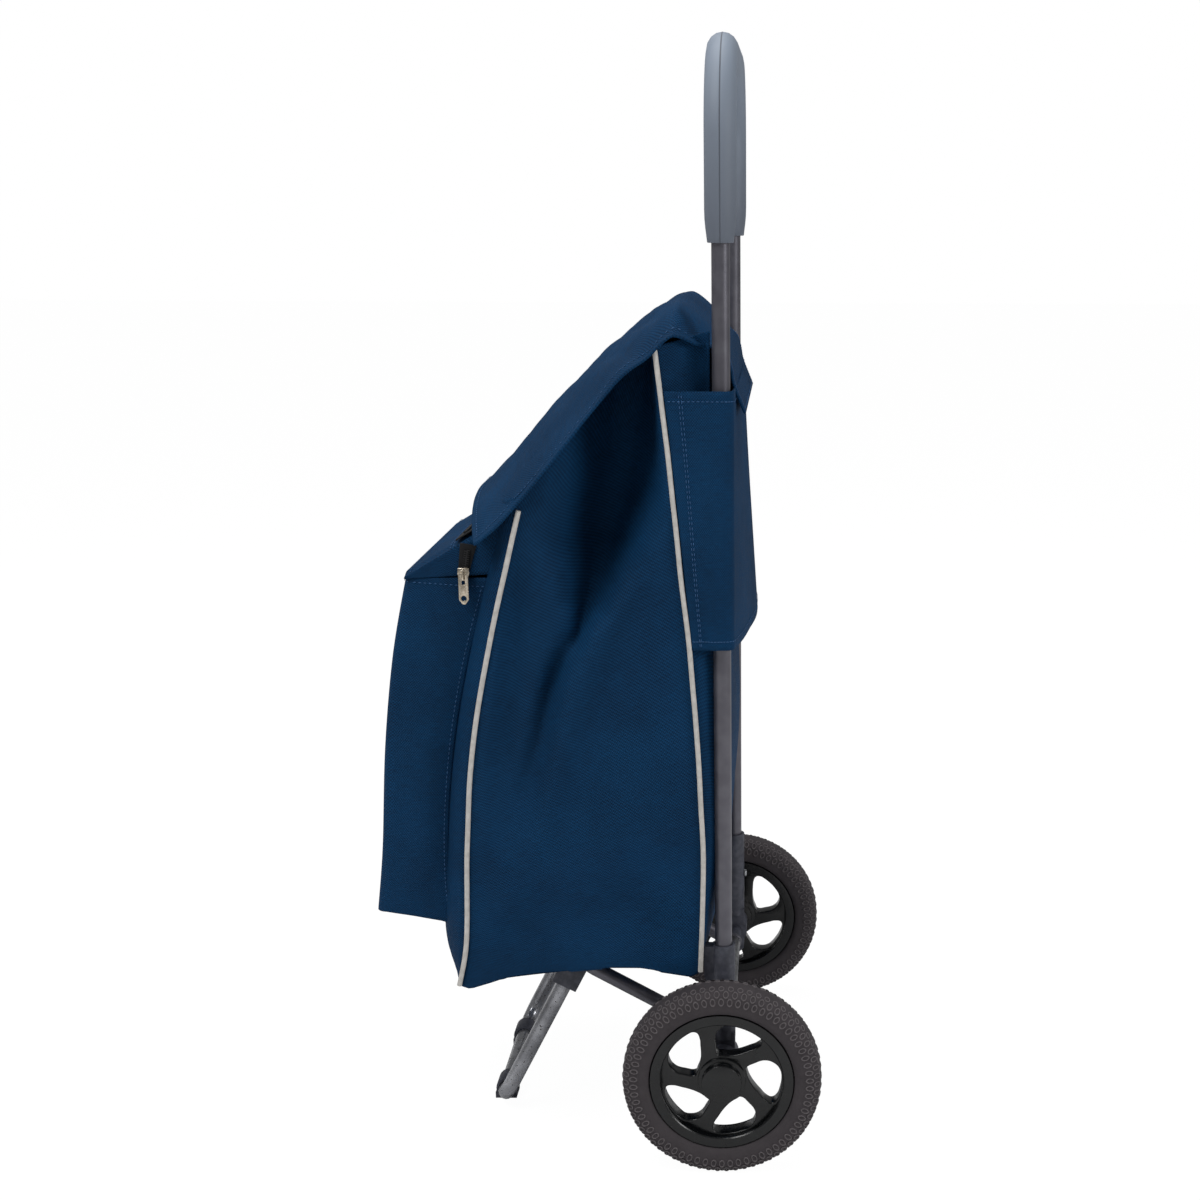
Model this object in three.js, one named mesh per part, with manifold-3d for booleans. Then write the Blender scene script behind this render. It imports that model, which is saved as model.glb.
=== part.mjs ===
// Two-wheeled shopping trolley: a tubular handle frame on one axle, a fold-down front stand
// and a hanging fabric bag with a zipped front pocket and a top flap.
// Millimetres. +X is the trolley's right side, -Y its front (the pocket side), +Z is up.
// Pieces are modelled with the axle on X at Y = 0, and the whole group is then moved along Y
// so that the origin lies on the floor below the middle of the overall box.

import * as THREE from "three";
import { mergeVertices } from "three/addons/utils/BufferGeometryUtils.js";
import Module from "manifold-3d";

// ---------- driving dimensions ----------

const SEAT_GAP = 0.35; // between faces that touch on the real trolley

const WHEEL_DIAMETER = 175;
const TRACK = 385.5; // between the mid-planes of the wheels
const TYRE_WIDTH = 32;
const TREAD_WIDTH = 15;
const RIM_RADIUS = 63.5;
const RIM_WIDTH = 26;
const FLANGE_INNER_RADIUS = 54;
const WEB_DEPTH = 20;
const HUB_RADIUS = 17.5;
const HUB_WIDTH = 29;
const SWIRL_COUNT = 5;
const SWIRL_START_DEG = 67;

const AXLE_RADIUS = 5;
const BUSH_RADIUS = 8.6;
const NUT_RADIUS = 9.5;
const NUT_WIDTH = 3;
const WASHER_THICKNESS = 1.6;
const CAP_THICKNESS = 2.4;

const TUBE_RADIUS = 7.5;
const TUBE_WALL = 1.2;
const TUBE_SPACING = 297;
const HANDLE_TOP = 949; // centre line of the tube at the top of the handle
const HANDLE_CORNER = 70;
const GRIP_RADIUS = 13;
const GRIP_MOUTH_RADIUS = 10.8;
const GRIP_BOTTOM = 797;
const HANG_BAR_RADIUS = 4;
const HANG_BAR_Z = 702;

const SOCKET_RADIUS = 10.4;
const SOCKET_TOP = 194;
const SOCKET_FLOOR = 112;
const BRACKET_FOOT = 65;
const BRACKET_HALF_WIDTH = 8;
const SCREW_RADIUS = 2;
const SCREW_Z = 150;

const STRUT_RADIUS = 6.5;
const STRUT_HALF_SPACING = 113;
const STRUT_LENGTH = 152.4; // from the axle to the cross bar
const STRUT_RISE_DEG = 29.25;
const STRUT_CORNER = 18;
const TONGUE_THICKNESS = 5;
const TONGUE_LENGTH = 26;

const LEG_RADIUS = 7.3;
const LEG_HALF_SPACING = 91;
const LEG_LENGTH = 170.4; // from the strut cross bar to the leg's own cross bar
const LEG_LEAN_DEG = 27.2; // forward of straight down
const LEG_CORNER = 22;
const LEG_TOP_GAP = 13; // from the strut cross bar's axis to the top end of the leg's tubes
const BLOCK_HALF_WIDTH = 9.5;
const BLOCK_START = 7.4;
const BLOCK_END = 36;
const BEND_RELIEF = 2.2; // room in the pivot block for the strut's bend
const LUG_RADIUS = 9;
const FOOT_WIDTH = 21;
const FOOT_RADIUS = 10.2;

const BAG_HALF_WIDTH = 157.5;
const BAG_BULGE_HALF_WIDTH = 126;
const BAG_WALL = 3;
const BOARD_THICKNESS = 3;
const BOARD_Z = 177.4;
const BOARD_FRONT = -222;
const BOARD_BACK = -28;
const PIPING_RADIUS = 2.2;
const POCKET_HALF_WIDTH = 135;
const POCKET_WALL = 2.4;
const POCKET_MOUTH = 9;
const CLOTH = 2.4;

const FLAP_HALF_WIDTH = 165;
const FLAP_SIDE_DROP = 26;
const FLAP_CROWN = 30;
const TAIL_HALF_WIDTH = 136;
const SLEEVE_X = 160.4;
const SLEEVE_BACK_TOP = 12;
const SLEEVE_BACK_BOTTOM = 26;

const ZIP_TAPE_WIDTH = 20;
const ZIP_TAPE_THICKNESS = 1.2;
const ZIP_CHAIN_WIDTH = 5;
const ZIP_CHAIN_THICKNESS = 2;
const SLIDER_Z = 524;
const PULL_LENGTH = 27;
const PULL_WIDTH = 8.4;

// Side profiles as [Y, Z].
const BAG_FRONT = [[-234, 157], [-226, 200], [-222, 284], [-214, 375], [-195, 472], [-170, 572]];
const BAG_FRONT_BULGED = [[-234, 157], [-238, 204], [-236, 284], [-228, 375], [-212, 472], [-186, 568]];
const BAG_REAR = [[-20, 172], [-17, 266], [-19, 339], [-25, 437], [-35, 540], [-44, 632], [-52, 703]];
const BAG_REAR_BULGED = [[-20, 172], [1, 273], [5, 400], [-9, 540], [-38, 640], [-52, 703]];
const BAG_FLOOR = [[-225, 154], [-198, 163], [-133.5, 171.6], [-109, 174], [-73, 174], [-29, 167]];
const POCKET_FRONT = [[-247, 206], [-310, 216], [-303, 275], [-296, 367], [-285, 450], [-270, 520]];
const POCKET_TOP_REAR = [-194, 566];
const FLAP_PROFILE = [[-36.4, 740], [-78, 728], [-114, 697], [-155, 650], [-190, 611], [-222, 580]];
const TAIL_PROFILE = [[-35, 740], [-20, 735], [-3, 716], [7, 702], [14.8, 684], [18, 664], [19.5, 644]];

// ---------- worked out from them ----------

const AXLE_Z = WHEEL_DIAMETER / 2;
const WHEEL_X = TRACK / 2;
const TUBE_X = TUBE_SPACING / 2;
const BORE_RADIUS = AXLE_RADIUS + SEAT_GAP;
const POCKET_FRONT_Y = Math.min(...POCKET_FRONT.map(([y]) => y));
const FOOT_X = LEG_HALF_SPACING - LEG_CORNER - FOOT_WIDTH / 2 - 1;
const ORIGIN_Y = (-POCKET_FRONT_Y - WHEEL_DIAMETER / 2) / 2;

const AXLE = new THREE.Vector3(0, 0, AXLE_Z);
const strutRise = THREE.MathUtils.degToRad(STRUT_RISE_DEG);
const legLean = THREE.MathUtils.degToRad(LEG_LEAN_DEG);
const STRUT_DIRECTION = new THREE.Vector3(0, -Math.cos(strutRise), Math.sin(strutRise));
const LEG_DIRECTION = new THREE.Vector3(0, -Math.sin(legLean), -Math.cos(legLean));
const STRUT_BAR = AXLE.clone().addScaledVector(STRUT_DIRECTION, STRUT_LENGTH);
const LEG_BAR = STRUT_BAR.clone().addScaledVector(LEG_DIRECTION, LEG_LENGTH);

// ---------- solids ----------

const wasm = await Module();
wasm.setup();

// A closed geometry as a solid that can be joined and cut.
function solid(geometry) {
  const bare = geometry.clone();
  bare.deleteAttribute("normal");
  bare.deleteAttribute("uv");
  const merged = mergeVertices(bare, 1e-4);
  const mesh = new wasm.Mesh({
    numProp: 3,
    vertProperties: new Float32Array(merged.attributes.position.array),
    triVerts: new Uint32Array(merged.index.array),
  });
  return new wasm.Manifold(mesh);
}

function geometryOf(body) {
  const mesh = body.getMesh();
  const flat = new THREE.BufferGeometry();
  flat.setAttribute("position", new THREE.BufferAttribute(mesh.vertProperties, 3));
  flat.setIndex(new THREE.BufferAttribute(mesh.triVerts, 1));
  const faceted = flat.toNonIndexed();
  faceted.computeVertexNormals();
  return faceted;
}

const join = (...geometries) => geometries.map(solid).reduce((a, b) => a.add(b));
const cut = (body, ...geometries) => geometries.map(solid).reduce((a, b) => a.subtract(b), body);

// ---------- shape helpers ----------

// A path through fixed points, swept one section per point.
class Route extends THREE.Curve {
  constructor(points) {
    super();
    this.points = points;
  }

  getPointAt(u, target = new THREE.Vector3()) {
    return target.copy(this.points[Math.round(u * (this.points.length - 1))]);
  }

  getTangentAt(u, target = new THREE.Vector3()) {
    const at = Math.round(u * (this.points.length - 1));
    const here = this.points[at];
    const before = this.points[at - 1];
    const after = this.points[at + 1];
    target.set(0, 0, 0);
    if (before) target.add(here.clone().sub(before).normalize());
    if (after) target.add(after.clone().sub(here).normalize());
    return target.normalize();
  }
}

// The points of a path through corners, each inner corner rounded to a radius.
function rounded(corners, radius, steps) {
  const points = [corners[0].clone()];
  for (let i = 1; i < corners.length - 1; i++) {
    const corner = corners[i];
    const back = corners[i - 1].clone().sub(corner).normalize();
    const on = corners[i + 1].clone().sub(corner).normalize();
    const half = back.angleTo(on) / 2;
    const centre = back.clone().add(on).normalize().multiplyScalar(radius / Math.sin(half)).add(corner);
    const start = back.clone().multiplyScalar(radius / Math.tan(half)).add(corner).sub(centre);
    const normal = back.clone().cross(start).normalize();
    for (let k = 0; k <= steps; k++) {
      const turn = ((Math.PI - 2 * half) * k) / steps;
      points.push(start.clone().applyAxisAngle(normal, turn).add(centre));
    }
  }
  points.push(corners.at(-1).clone());
  return points;
}

function circleShape(radius, sides) {
  const points = [];
  for (let k = 0; k < sides; k++) {
    const angle = (2 * Math.PI * k) / sides;
    points.push(new THREE.Vector2(radius * Math.cos(angle), radius * Math.sin(angle)));
  }
  return new THREE.Shape(points);
}

function rod(points, radius, sides) {
  const options = { steps: points.length - 1, extrudePath: new Route(points), bevelEnabled: false };
  return new THREE.ExtrudeGeometry(circleShape(radius, sides), options);
}

// A cylinder along X, from x0 to x1, at a place in Y and Z.
function cylinderX(radius, x0, x1, y, z, sides = 24) {
  const shape = new THREE.CylinderGeometry(radius, radius, x1 - x0, sides);
  return shape.rotateZ(-Math.PI / 2).translate((x0 + x1) / 2, y, z);
}

function cylinderZ(radius, z0, z1, x, y, sides = 24) {
  const shape = new THREE.CylinderGeometry(radius, radius, z1 - z0, sides);
  return shape.rotateX(Math.PI / 2).translate(x, y, (z0 + z1) / 2);
}

// Extrudes a [Y, Z] outline along X.
const SIDEWAYS = new THREE.Matrix4().makeBasis(
  new THREE.Vector3(0, 1, 0),
  new THREE.Vector3(0, 0, 1),
  new THREE.Vector3(1, 0, 0),
);
function plate(outline, x0, x1) {
  const shape = new THREE.Shape(outline.map(([y, z]) => new THREE.Vector2(y, z)));
  const body = new THREE.ExtrudeGeometry(shape, { depth: x1 - x0, bevelEnabled: false });
  return body.applyMatrix4(SIDEWAYS).translate(x0, 0, 0);
}

// A ring turned about X from an [X, radius] outline, given in either direction.
function turned(outline, sides) {
  const points = outline.map(([x, r]) => new THREE.Vector2(r, x));
  if (THREE.ShapeUtils.area(points) < 0) points.reverse();
  return new THREE.LatheGeometry([...points, points[0]], sides).rotateZ(-Math.PI / 2);
}

// Moves every side of a closed [Y, Z] outline inwards by a distance; negative moves it outwards.
function inset(outline, distance) {
  const points = outline.map(([y, z]) => new THREE.Vector2(y, z));
  const turnSign = THREE.ShapeUtils.area(points) > 0 ? 1 : -1;
  return points.map((point, i) => {
    const before = points.at(i - 1);
    const after = points[(i + 1) % points.length];
    const a = point.clone().sub(before).normalize();
    const b = after.clone().sub(point).normalize();
    const normal = new THREE.Vector2(-a.y - b.y, a.x + b.x).multiplyScalar(turnSign);
    const reach = distance / (1 + a.dot(b));
    return [point.x + normal.x * reach, point.y + normal.y * reach];
  });
}

// A cloth panel: surface(u, v) with a thickness, half on each side.
function panel(surface, acrossSteps, alongSteps, thickness) {
  const body = new THREE.BoxGeometry(1, 1, 1, acrossSteps, alongSteps, 1);
  const position = body.attributes.position;
  const delta = 1e-3;
  for (let i = 0; i < position.count; i++) {
    const u = position.getX(i) + 0.5;
    const v = position.getY(i) + 0.5;
    const across = surface(u + delta, v).sub(surface(u - delta, v));
    const along = surface(u, v + delta).sub(surface(u, v - delta));
    const normal = across.cross(along).normalize();
    const place = surface(u, v).addScaledVector(normal, position.getZ(i) * thickness);
    position.setXYZ(i, place.x, place.y, place.z);
  }
  return body;
}

// A smooth curve through [Y, Z] points that also answers a little past its ends.
function profileCurve(profile) {
  const curve = new THREE.CatmullRomCurve3(profile.map(([y, z]) => new THREE.Vector3(0, y, z)));
  return (t) => {
    const end = THREE.MathUtils.clamp(t, 0, 1);
    return curve.getPoint(end).addScaledVector(curve.getTangent(end), (t - end) * curve.getLength());
  };
}

// Y of a side profile at a height.
function yAt(profile, z) {
  const after = Math.max(1, profile.findIndex(([, height]) => height >= z));
  const [[y0, z0], [y1, z1]] = [profile[after - 1], profile[after]];
  return y0 + ((y1 - y0) * (z - z0)) / (z1 - z0);
}

// ---------- materials ----------

function finish(colour, roughness, metalness) {
  return () => new THREE.MeshStandardMaterial({ color: colour, roughness, metalness });
}
const paintedSteel = finish(0x84868c, 0.4, 0.7);
const zincSteel = finish(0xa8acb0, 0.35, 0.9);
const slatePlastic = finish(0x3d3f48, 0.55, 0);
const gripPlastic = finish(0x6f7a88, 0.6, 0);
const tyreRubber = finish(0x47423f, 0.85, 0);
const rimPlastic = finish(0x0e0f11, 0.25, 0);
const canvas = finish(0x143a63, 0.85, 0);
const pipingCord = finish(0xc4c0ba, 0.6, 0);
const blackTape = finish(0x101216, 0.8, 0);
const board = finish(0x202226, 0.7, 0);

const trolley = new THREE.Group();
trolley.position.y = ORIGIN_Y;

function add(name, shape, material, parent = trolley) {
  const geometry = shape.isBufferGeometry ? shape : geometryOf(shape);
  const mesh = new THREE.Mesh(geometry, material());
  mesh.name = name;
  parent.add(mesh);
}

const SIDES = [["left", -1], ["right", 1]];

// ---------- handle frame ----------

// One bent steel tube, open at its two lower ends.
function handlePath(bottom) {
  const corners = [
    new THREE.Vector3(-TUBE_X, 0, bottom),
    new THREE.Vector3(-TUBE_X, 0, HANDLE_TOP),
    new THREE.Vector3(TUBE_X, 0, HANDLE_TOP),
    new THREE.Vector3(TUBE_X, 0, bottom),
  ];
  return rounded(corners, HANDLE_CORNER, 8);
}

function screwHoles(radius, from) {
  return SIDES.map(([, side]) =>
    new THREE.CylinderGeometry(radius, radius, 20, 12).translate(side * TUBE_X, from + 10, SCREW_Z));
}

function handleTube() {
  const bottom = SOCKET_FLOOR + SEAT_GAP;
  const outside = solid(rod(handlePath(bottom), TUBE_RADIUS, 16));
  const bore = rod(handlePath(bottom - 1), TUBE_RADIUS - TUBE_WALL, 12);
  return cut(outside, bore, ...screwHoles(SCREW_RADIUS + SEAT_GAP, 1));
}

// A moulded sleeve over the bend, a little narrower at its two mouths.
function handleGrip() {
  const taper = 15;
  const shell = SIDES.map(([, side]) => {
    const cone = new THREE.CylinderGeometry(GRIP_RADIUS, GRIP_MOUTH_RADIUS, taper, 20);
    return cone.rotateX(Math.PI / 2).translate(side * TUBE_X, 0, GRIP_BOTTOM + taper / 2);
  });
  const body = join(rod(handlePath(GRIP_BOTTOM + taper), GRIP_RADIUS, 20), ...shell);
  return cut(body, rod(handlePath(GRIP_BOTTOM - 1), TUBE_RADIUS + SEAT_GAP, 16));
}

add("handle_tube", handleTube(), paintedSteel);
add("handle_grip", handleGrip(), gripPlastic);
const barEnd = TUBE_X - TUBE_RADIUS - SEAT_GAP;
add("hang_bar", cylinderX(HANG_BAR_RADIUS, -barEnd, barEnd, 0, HANG_BAR_Z, 16), paintedSteel);

// ---------- wheel brackets ----------

const BOSS_RADIUS = 13;
const BOSS_END = WHEEL_X - TYRE_WIDTH / 2 - 2.7 - TUBE_X;
const EAR = { front: -17, low: 164, high: 193, corner: 149, halfWidth: 6, wall: 3 };

// The moulding that holds the tube's end, the axle and a forward catch ear. Local X is outwards.
function bracket() {
  const foot = [
    [-9, 112],
    [-9, BRACKET_FOOT + 5],
    [-5, BRACKET_FOOT],
    [6, BRACKET_FOOT],
    [10, BRACKET_FOOT + 4],
    [10, 112],
  ];
  const ear = [[-8, EAR.corner], [EAR.front, EAR.low], [EAR.front, EAR.high], [-8, EAR.high]];
  const hollow = [
    [EAR.front - 1, EAR.low + 5],
    [-SOCKET_RADIUS - 1.5, EAR.low + 5],
    [-SOCKET_RADIUS - 1.5, EAR.high - 5],
    [EAR.front - 1, EAR.high - 5],
  ];
  const body = join(
    plate(foot, -BRACKET_HALF_WIDTH, BRACKET_HALF_WIDTH),
    cylinderZ(SOCKET_RADIUS, 105, SOCKET_TOP, 0, 0),
    cylinderX(BOSS_RADIUS, -BRACKET_HALF_WIDTH, BOSS_END, 0, AXLE_Z),
    plate(ear, -EAR.halfWidth, EAR.halfWidth),
  );
  return cut(
    body,
    cylinderZ(TUBE_RADIUS + SEAT_GAP, SOCKET_FLOOR, SOCKET_TOP + 1, 0, 0),
    cylinderX(BORE_RADIUS, -BRACKET_HALF_WIDTH - 1, BOSS_END + 1, 0, AXLE_Z),
    plate(hollow, EAR.wall - EAR.halfWidth, EAR.halfWidth - EAR.wall),
    new THREE.CylinderGeometry(SCREW_RADIUS + SEAT_GAP, SCREW_RADIUS + SEAT_GAP, 20, 12)
      .translate(0, 11, SCREW_Z),
  );
}

// A pan-head screw from the back, through the socket and the tube's wall.
function bracketScrew() {
  const seat = SOCKET_RADIUS + SEAT_GAP;
  const head = new THREE.CylinderGeometry(4, 3.2, 2.2, 16).rotateX(Math.PI);
  const shank = new THREE.CylinderGeometry(SCREW_RADIUS, SCREW_RADIUS, seat - 3, 12);
  return join(
    head.translate(0, seat + 1.1, SCREW_Z),
    shank.translate(0, (seat + 0.5 + 3.5) / 2, SCREW_Z),
  );
}

for (const [name, side] of SIDES) {
  const group = new THREE.Group();
  group.position.x = side * TUBE_X;
  group.scale.x = side;
  trolley.add(group);
  add("bracket_" + name, bracket(), slatePlastic, group);
  add("bracket_screw_" + name, bracketScrew(), zincSteel, group);
}

// ---------- axle ----------

const BUSH_INNER = WHEEL_X - HUB_WIDTH / 2 - 1.9; // inner end of the wheel's bush
const BUSH_OUTER = WHEEL_X + 3;
const NUT_INNER = BUSH_OUTER + SEAT_GAP;
const AXLE_END = NUT_INNER + NUT_WIDTH + 1;
add("axle", cylinderX(AXLE_RADIUS, -AXLE_END, AXLE_END, 0, AXLE_Z), zincSteel);

// A ring round the axle, in the frame of one side.
function collar(x0, x1, outer, sides = 24) {
  return cut(solid(cylinderX(outer, x0, x1, 0, AXLE_Z, sides)),
    cylinderX(BORE_RADIUS, x0 - 1, x1 + 1, 0, AXLE_Z));
}

const TONGUE_INNER = STRUT_HALF_SPACING - TONGUE_THICKNESS / 2;
const TONGUE_OUTER = STRUT_HALF_SPACING + TONGUE_THICKNESS / 2;
const innerSpacerEnd = TONGUE_INNER - SEAT_GAP;
add("axle_sleeve", collar(-innerSpacerEnd, innerSpacerEnd, 7.2, 20), zincSteel);
for (const [name, side] of SIDES) {
  const group = new THREE.Group();
  group.scale.x = side;
  trolley.add(group);
  const bracketInner = TUBE_X - BRACKET_HALF_WIDTH - SEAT_GAP;
  const washerInner = TUBE_X + BOSS_END + SEAT_GAP;
  add("axle_spacer_" + name, collar(TONGUE_OUTER + SEAT_GAP, bracketInner, 7.2, 20), slatePlastic, group);
  add("axle_washer_" + name, collar(washerInner, washerInner + WASHER_THICKNESS, 9, 20), zincSteel, group);
  add("axle_nut_" + name, collar(NUT_INNER, NUT_INNER + NUT_WIDTH, NUT_RADIUS, 6), zincSteel, group);
}

// ---------- wheels ----------

// Local X is outwards along the axle, with 0 at the wheel's mid-plane.
function tyre() {
  const half = TYRE_WIDTH / 2;
  const radius = WHEEL_DIAMETER / 2;
  const inner = RIM_RADIUS + 0.5;
  const crown = [[TREAD_WIDTH / 2, radius], [half - 2.6, radius - 3], [half, radius - 9]];
  const wall = [[half - 1.5, inner + 6], [RIM_WIDTH / 2 - 1, inner]];
  const oneSide = [...crown, ...wall];
  const otherSide = oneSide.map(([x, r]) => [-x, r]).reverse();
  return turned([...oneSide, ...otherSide], 48);
}

// One curved window of the rim, from near the hub out to the flange.
function swirlHole(turn) {
  const at = (radius, degrees) => {
    const angle = THREE.MathUtils.degToRad(degrees) + turn;
    return new THREE.Vector2(radius * Math.cos(angle), radius * Math.sin(angle));
  };
  const lead = new THREE.QuadraticBezierCurve(at(24, 8), at(38, 24), at(51, 20)).getPoints(4);
  const outer = [at(52.4, 13), at(52.6, 4), at(52.4, -6), at(51, -14)];
  const trail = new THREE.QuadraticBezierCurve(at(48, -18), at(35, -20), at(24.5, -8)).getPoints(4);
  return [...lead, ...outer, ...trail];
}

function rim() {
  const web = circleShape(FLANGE_INNER_RADIUS + 2, 48);
  for (let k = 0; k < SWIRL_COUNT; k++) {
    const turn = THREE.MathUtils.degToRad(SWIRL_START_DEG + (360 * k) / SWIRL_COUNT);
    web.holes.push(new THREE.Path(swirlHole(turn)));
  }
  const disc = new THREE.ExtrudeGeometry(web, { depth: WEB_DEPTH, bevelEnabled: false });
  disc.applyMatrix4(SIDEWAYS).translate(-WEB_DEPTH / 2, 0, 0);
  const flange = turned([
    [-RIM_WIDTH / 2, FLANGE_INNER_RADIUS],
    [RIM_WIDTH / 2, FLANGE_INNER_RADIUS],
    [RIM_WIDTH / 2, RIM_RADIUS],
    [-RIM_WIDTH / 2, RIM_RADIUS],
  ], 48);
  const hub = cylinderX(HUB_RADIUS, -HUB_WIDTH / 2, HUB_WIDTH / 2, 0, 0);
  const body = join(disc, flange, hub);
  const seat = BUSH_OUTER - WHEEL_X;
  return cut(
    body,
    cylinderX(BUSH_RADIUS + SEAT_GAP, -HUB_WIDTH, HUB_WIDTH, 0, 0),
    cylinderX(NUT_RADIUS + 2.5, seat, HUB_WIDTH, 0, 0),
  );
}

function bush() {
  const x0 = BUSH_INNER - WHEEL_X;
  const x1 = BUSH_OUTER - WHEEL_X;
  return cut(solid(cylinderX(BUSH_RADIUS, x0, x1, 0, 0)), cylinderX(BORE_RADIUS, x0 - 1, x1 + 1, 0, 0));
}

// A cap with a hollow plug that presses into the hub's outer recess.
function hubCap() {
  const face = HUB_WIDTH / 2 + SEAT_GAP;
  const plug = NUT_RADIUS + 2.5 - SEAT_GAP;
  return cut(
    join(
      cylinderX(HUB_RADIUS, face, face + CAP_THICKNESS, 0, 0),
      cylinderX(plug, face - 5, face + 1, 0, 0),
    ),
    cylinderX(plug - 1.6, face - 6, face + 0.6, 0, 0),
  );
}

for (const [name, side] of SIDES) {
  const wheel = new THREE.Group();
  wheel.position.set(side * WHEEL_X, 0, AXLE_Z);
  wheel.rotation.z = side > 0 ? 0 : Math.PI;
  trolley.add(wheel);
  add("tyre_" + name, tyre(), tyreRubber, wheel);
  add("rim_" + name, rim(), rimPlastic, wheel);
  add("wheel_bush_" + name, bush(), slatePlastic, wheel);
  add("hub_cap_" + name, hubCap(), rimPlastic, wheel);
}

// ---------- stand ----------

// A bent tube whose two ends are pressed flat into eyes on the axle.
function strutFrame() {
  const start = AXLE.clone().addScaledVector(STRUT_DIRECTION, TONGUE_LENGTH - 4);
  const corners = [
    start.clone().setX(-STRUT_HALF_SPACING),
    STRUT_BAR.clone().setX(-STRUT_HALF_SPACING),
    STRUT_BAR.clone().setX(STRUT_HALF_SPACING),
    start.clone().setX(STRUT_HALF_SPACING),
  ];
  const tongues = SIDES.flatMap(([, side]) => {
    const x0 = side * STRUT_HALF_SPACING - TONGUE_THICKNESS / 2;
    const eye = cylinderX(8.4, x0, x0 + TONGUE_THICKNESS, 0, AXLE_Z);
    const blade = new THREE.BoxGeometry(TONGUE_THICKNESS, TONGUE_LENGTH, 14);
    blade.translate(0, -TONGUE_LENGTH / 2, 0).rotateX(-strutRise);
    return [eye, blade.translate(side * STRUT_HALF_SPACING, 0, AXLE_Z)];
  });
  const bore = cylinderX(BORE_RADIUS, -STRUT_HALF_SPACING - 9, STRUT_HALF_SPACING + 9, 0, AXLE_Z);
  return cut(join(rod(rounded(corners, STRUT_CORNER, 5), STRUT_RADIUS, 14), ...tongues), bore);
}

// A bent tube with its cross bar down at the feet and its open ends in the two pivot blocks.
function legTube() {
  const top = STRUT_BAR.clone().addScaledVector(LEG_DIRECTION, LEG_TOP_GAP);
  const corners = [
    top.clone().setX(-LEG_HALF_SPACING),
    LEG_BAR.clone().setX(-LEG_HALF_SPACING),
    LEG_BAR.clone().setX(LEG_HALF_SPACING),
    top.clone().setX(LEG_HALF_SPACING),
  ];
  return rod(rounded(corners, LEG_CORNER, 6), LEG_RADIUS, 14);
}

// A moulded socket for one leg tube, with a lug that turns on the strut's cross bar.
function pivotBlock(side) {
  const x = side * LEG_HALF_SPACING;
  const box = new THREE.BoxGeometry(2 * BLOCK_HALF_WIDTH, 24, BLOCK_END - BLOCK_START);
  box.translate(0, 0, -(BLOCK_END + BLOCK_START) / 2).rotateX(-legLean);
  const lugInner = LEG_HALF_SPACING - BLOCK_HALF_WIDTH;
  const lugOuter = STRUT_HALF_SPACING - STRUT_CORNER - 1;
  const [x0, x1] = [side * lugInner, side * lugOuter].sort((a, b) => a - b);
  const reliefEnds = [side * lugOuter, side * (LEG_HALF_SPACING + BLOCK_HALF_WIDTH + 1)].sort((a, b) => a - b);
  const bore = new THREE.CylinderGeometry(LEG_RADIUS + SEAT_GAP, LEG_RADIUS + SEAT_GAP, 60, 20);
  bore.rotateX(Math.PI / 2).translate(0, 0, -LEG_TOP_GAP + SEAT_GAP - 30).rotateX(-legLean);
  return cut(
    join(
      box.translate(x, STRUT_BAR.y, STRUT_BAR.z),
      cylinderX(LUG_RADIUS, x0, x1, STRUT_BAR.y, STRUT_BAR.z, 20),
    ),
    bore.translate(x, STRUT_BAR.y, STRUT_BAR.z),
    cylinderX(STRUT_RADIUS + SEAT_GAP, -200, 200, STRUT_BAR.y, STRUT_BAR.z),
    cylinderX(STRUT_RADIUS + BEND_RELIEF, ...reliefEnds, STRUT_BAR.y, STRUT_BAR.z),
  );
}

// A clip-on plastic foot with a flat sole under the leg's cross bar.
function foot(side) {
  const x0 = side * FOOT_X - FOOT_WIDTH / 2;
  const x1 = x0 + FOOT_WIDTH;
  const { y, z } = LEG_BAR;
  const sole = [[y - 11, 0], [y + 9, 0], [y + 9, 5], [y + 4, z], [y - 6, z], [y - 11, 6]];
  return cut(
    join(plate(sole, x0, x1), cylinderX(FOOT_RADIUS, x0, x1, y, z, 20)),
    cylinderX(LEG_RADIUS + SEAT_GAP, x0 - 1, x1 + 1, y, z),
  );
}

add("strut_frame", strutFrame(), paintedSteel);
add("leg_tube", legTube(), zincSteel);
for (const [name, side] of SIDES) {
  add("pivot_block_" + name, pivotBlock(side), slatePlastic);
  add("foot_" + name, foot(side), slatePlastic);
}

// ---------- bag ----------

function bagOutline(front, rear) {
  return [...front.toReversed(), ...BAG_FLOOR, ...rear];
}
const BAG_SIDE = bagOutline(BAG_FRONT, BAG_REAR);
const BAG_MIDDLE = bagOutline(BAG_FRONT_BULGED, BAG_REAR_BULGED);

// The mouth is the straight line between the top of the back and the top of the front.
function mouthCutter(outline, halfWidth) {
  const hole = inset(outline, BAG_WALL);
  const front = hole[0];
  const rear = hole.at(-1);
  const along = new THREE.Vector2(front[0] - rear[0], front[1] - rear[1]).normalize();
  const up = [along.y * 12, -along.x * 12];
  const lift = ([y, z], share) => [y + up[0] * share, z + up[1] * share];
  return plate([lift(front, -1), lift(front, 1), lift(rear, 1), lift(rear, -1)], -halfWidth, halfWidth);
}

function bagShell() {
  const parts = [[BAG_SIDE, BAG_HALF_WIDTH], [BAG_MIDDLE, BAG_BULGE_HALF_WIDTH]];
  const walls = join(...parts.map(([outline, half]) => plate(outline, -half, half)));
  const hollow = parts.flatMap(([outline, half]) => {
    const inner = half - BAG_WALL;
    return [plate(inset(outline, BAG_WALL), -inner, inner), mouthCutter(outline, inner)];
  });
  return cut(walls, ...hollow);
}

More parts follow.
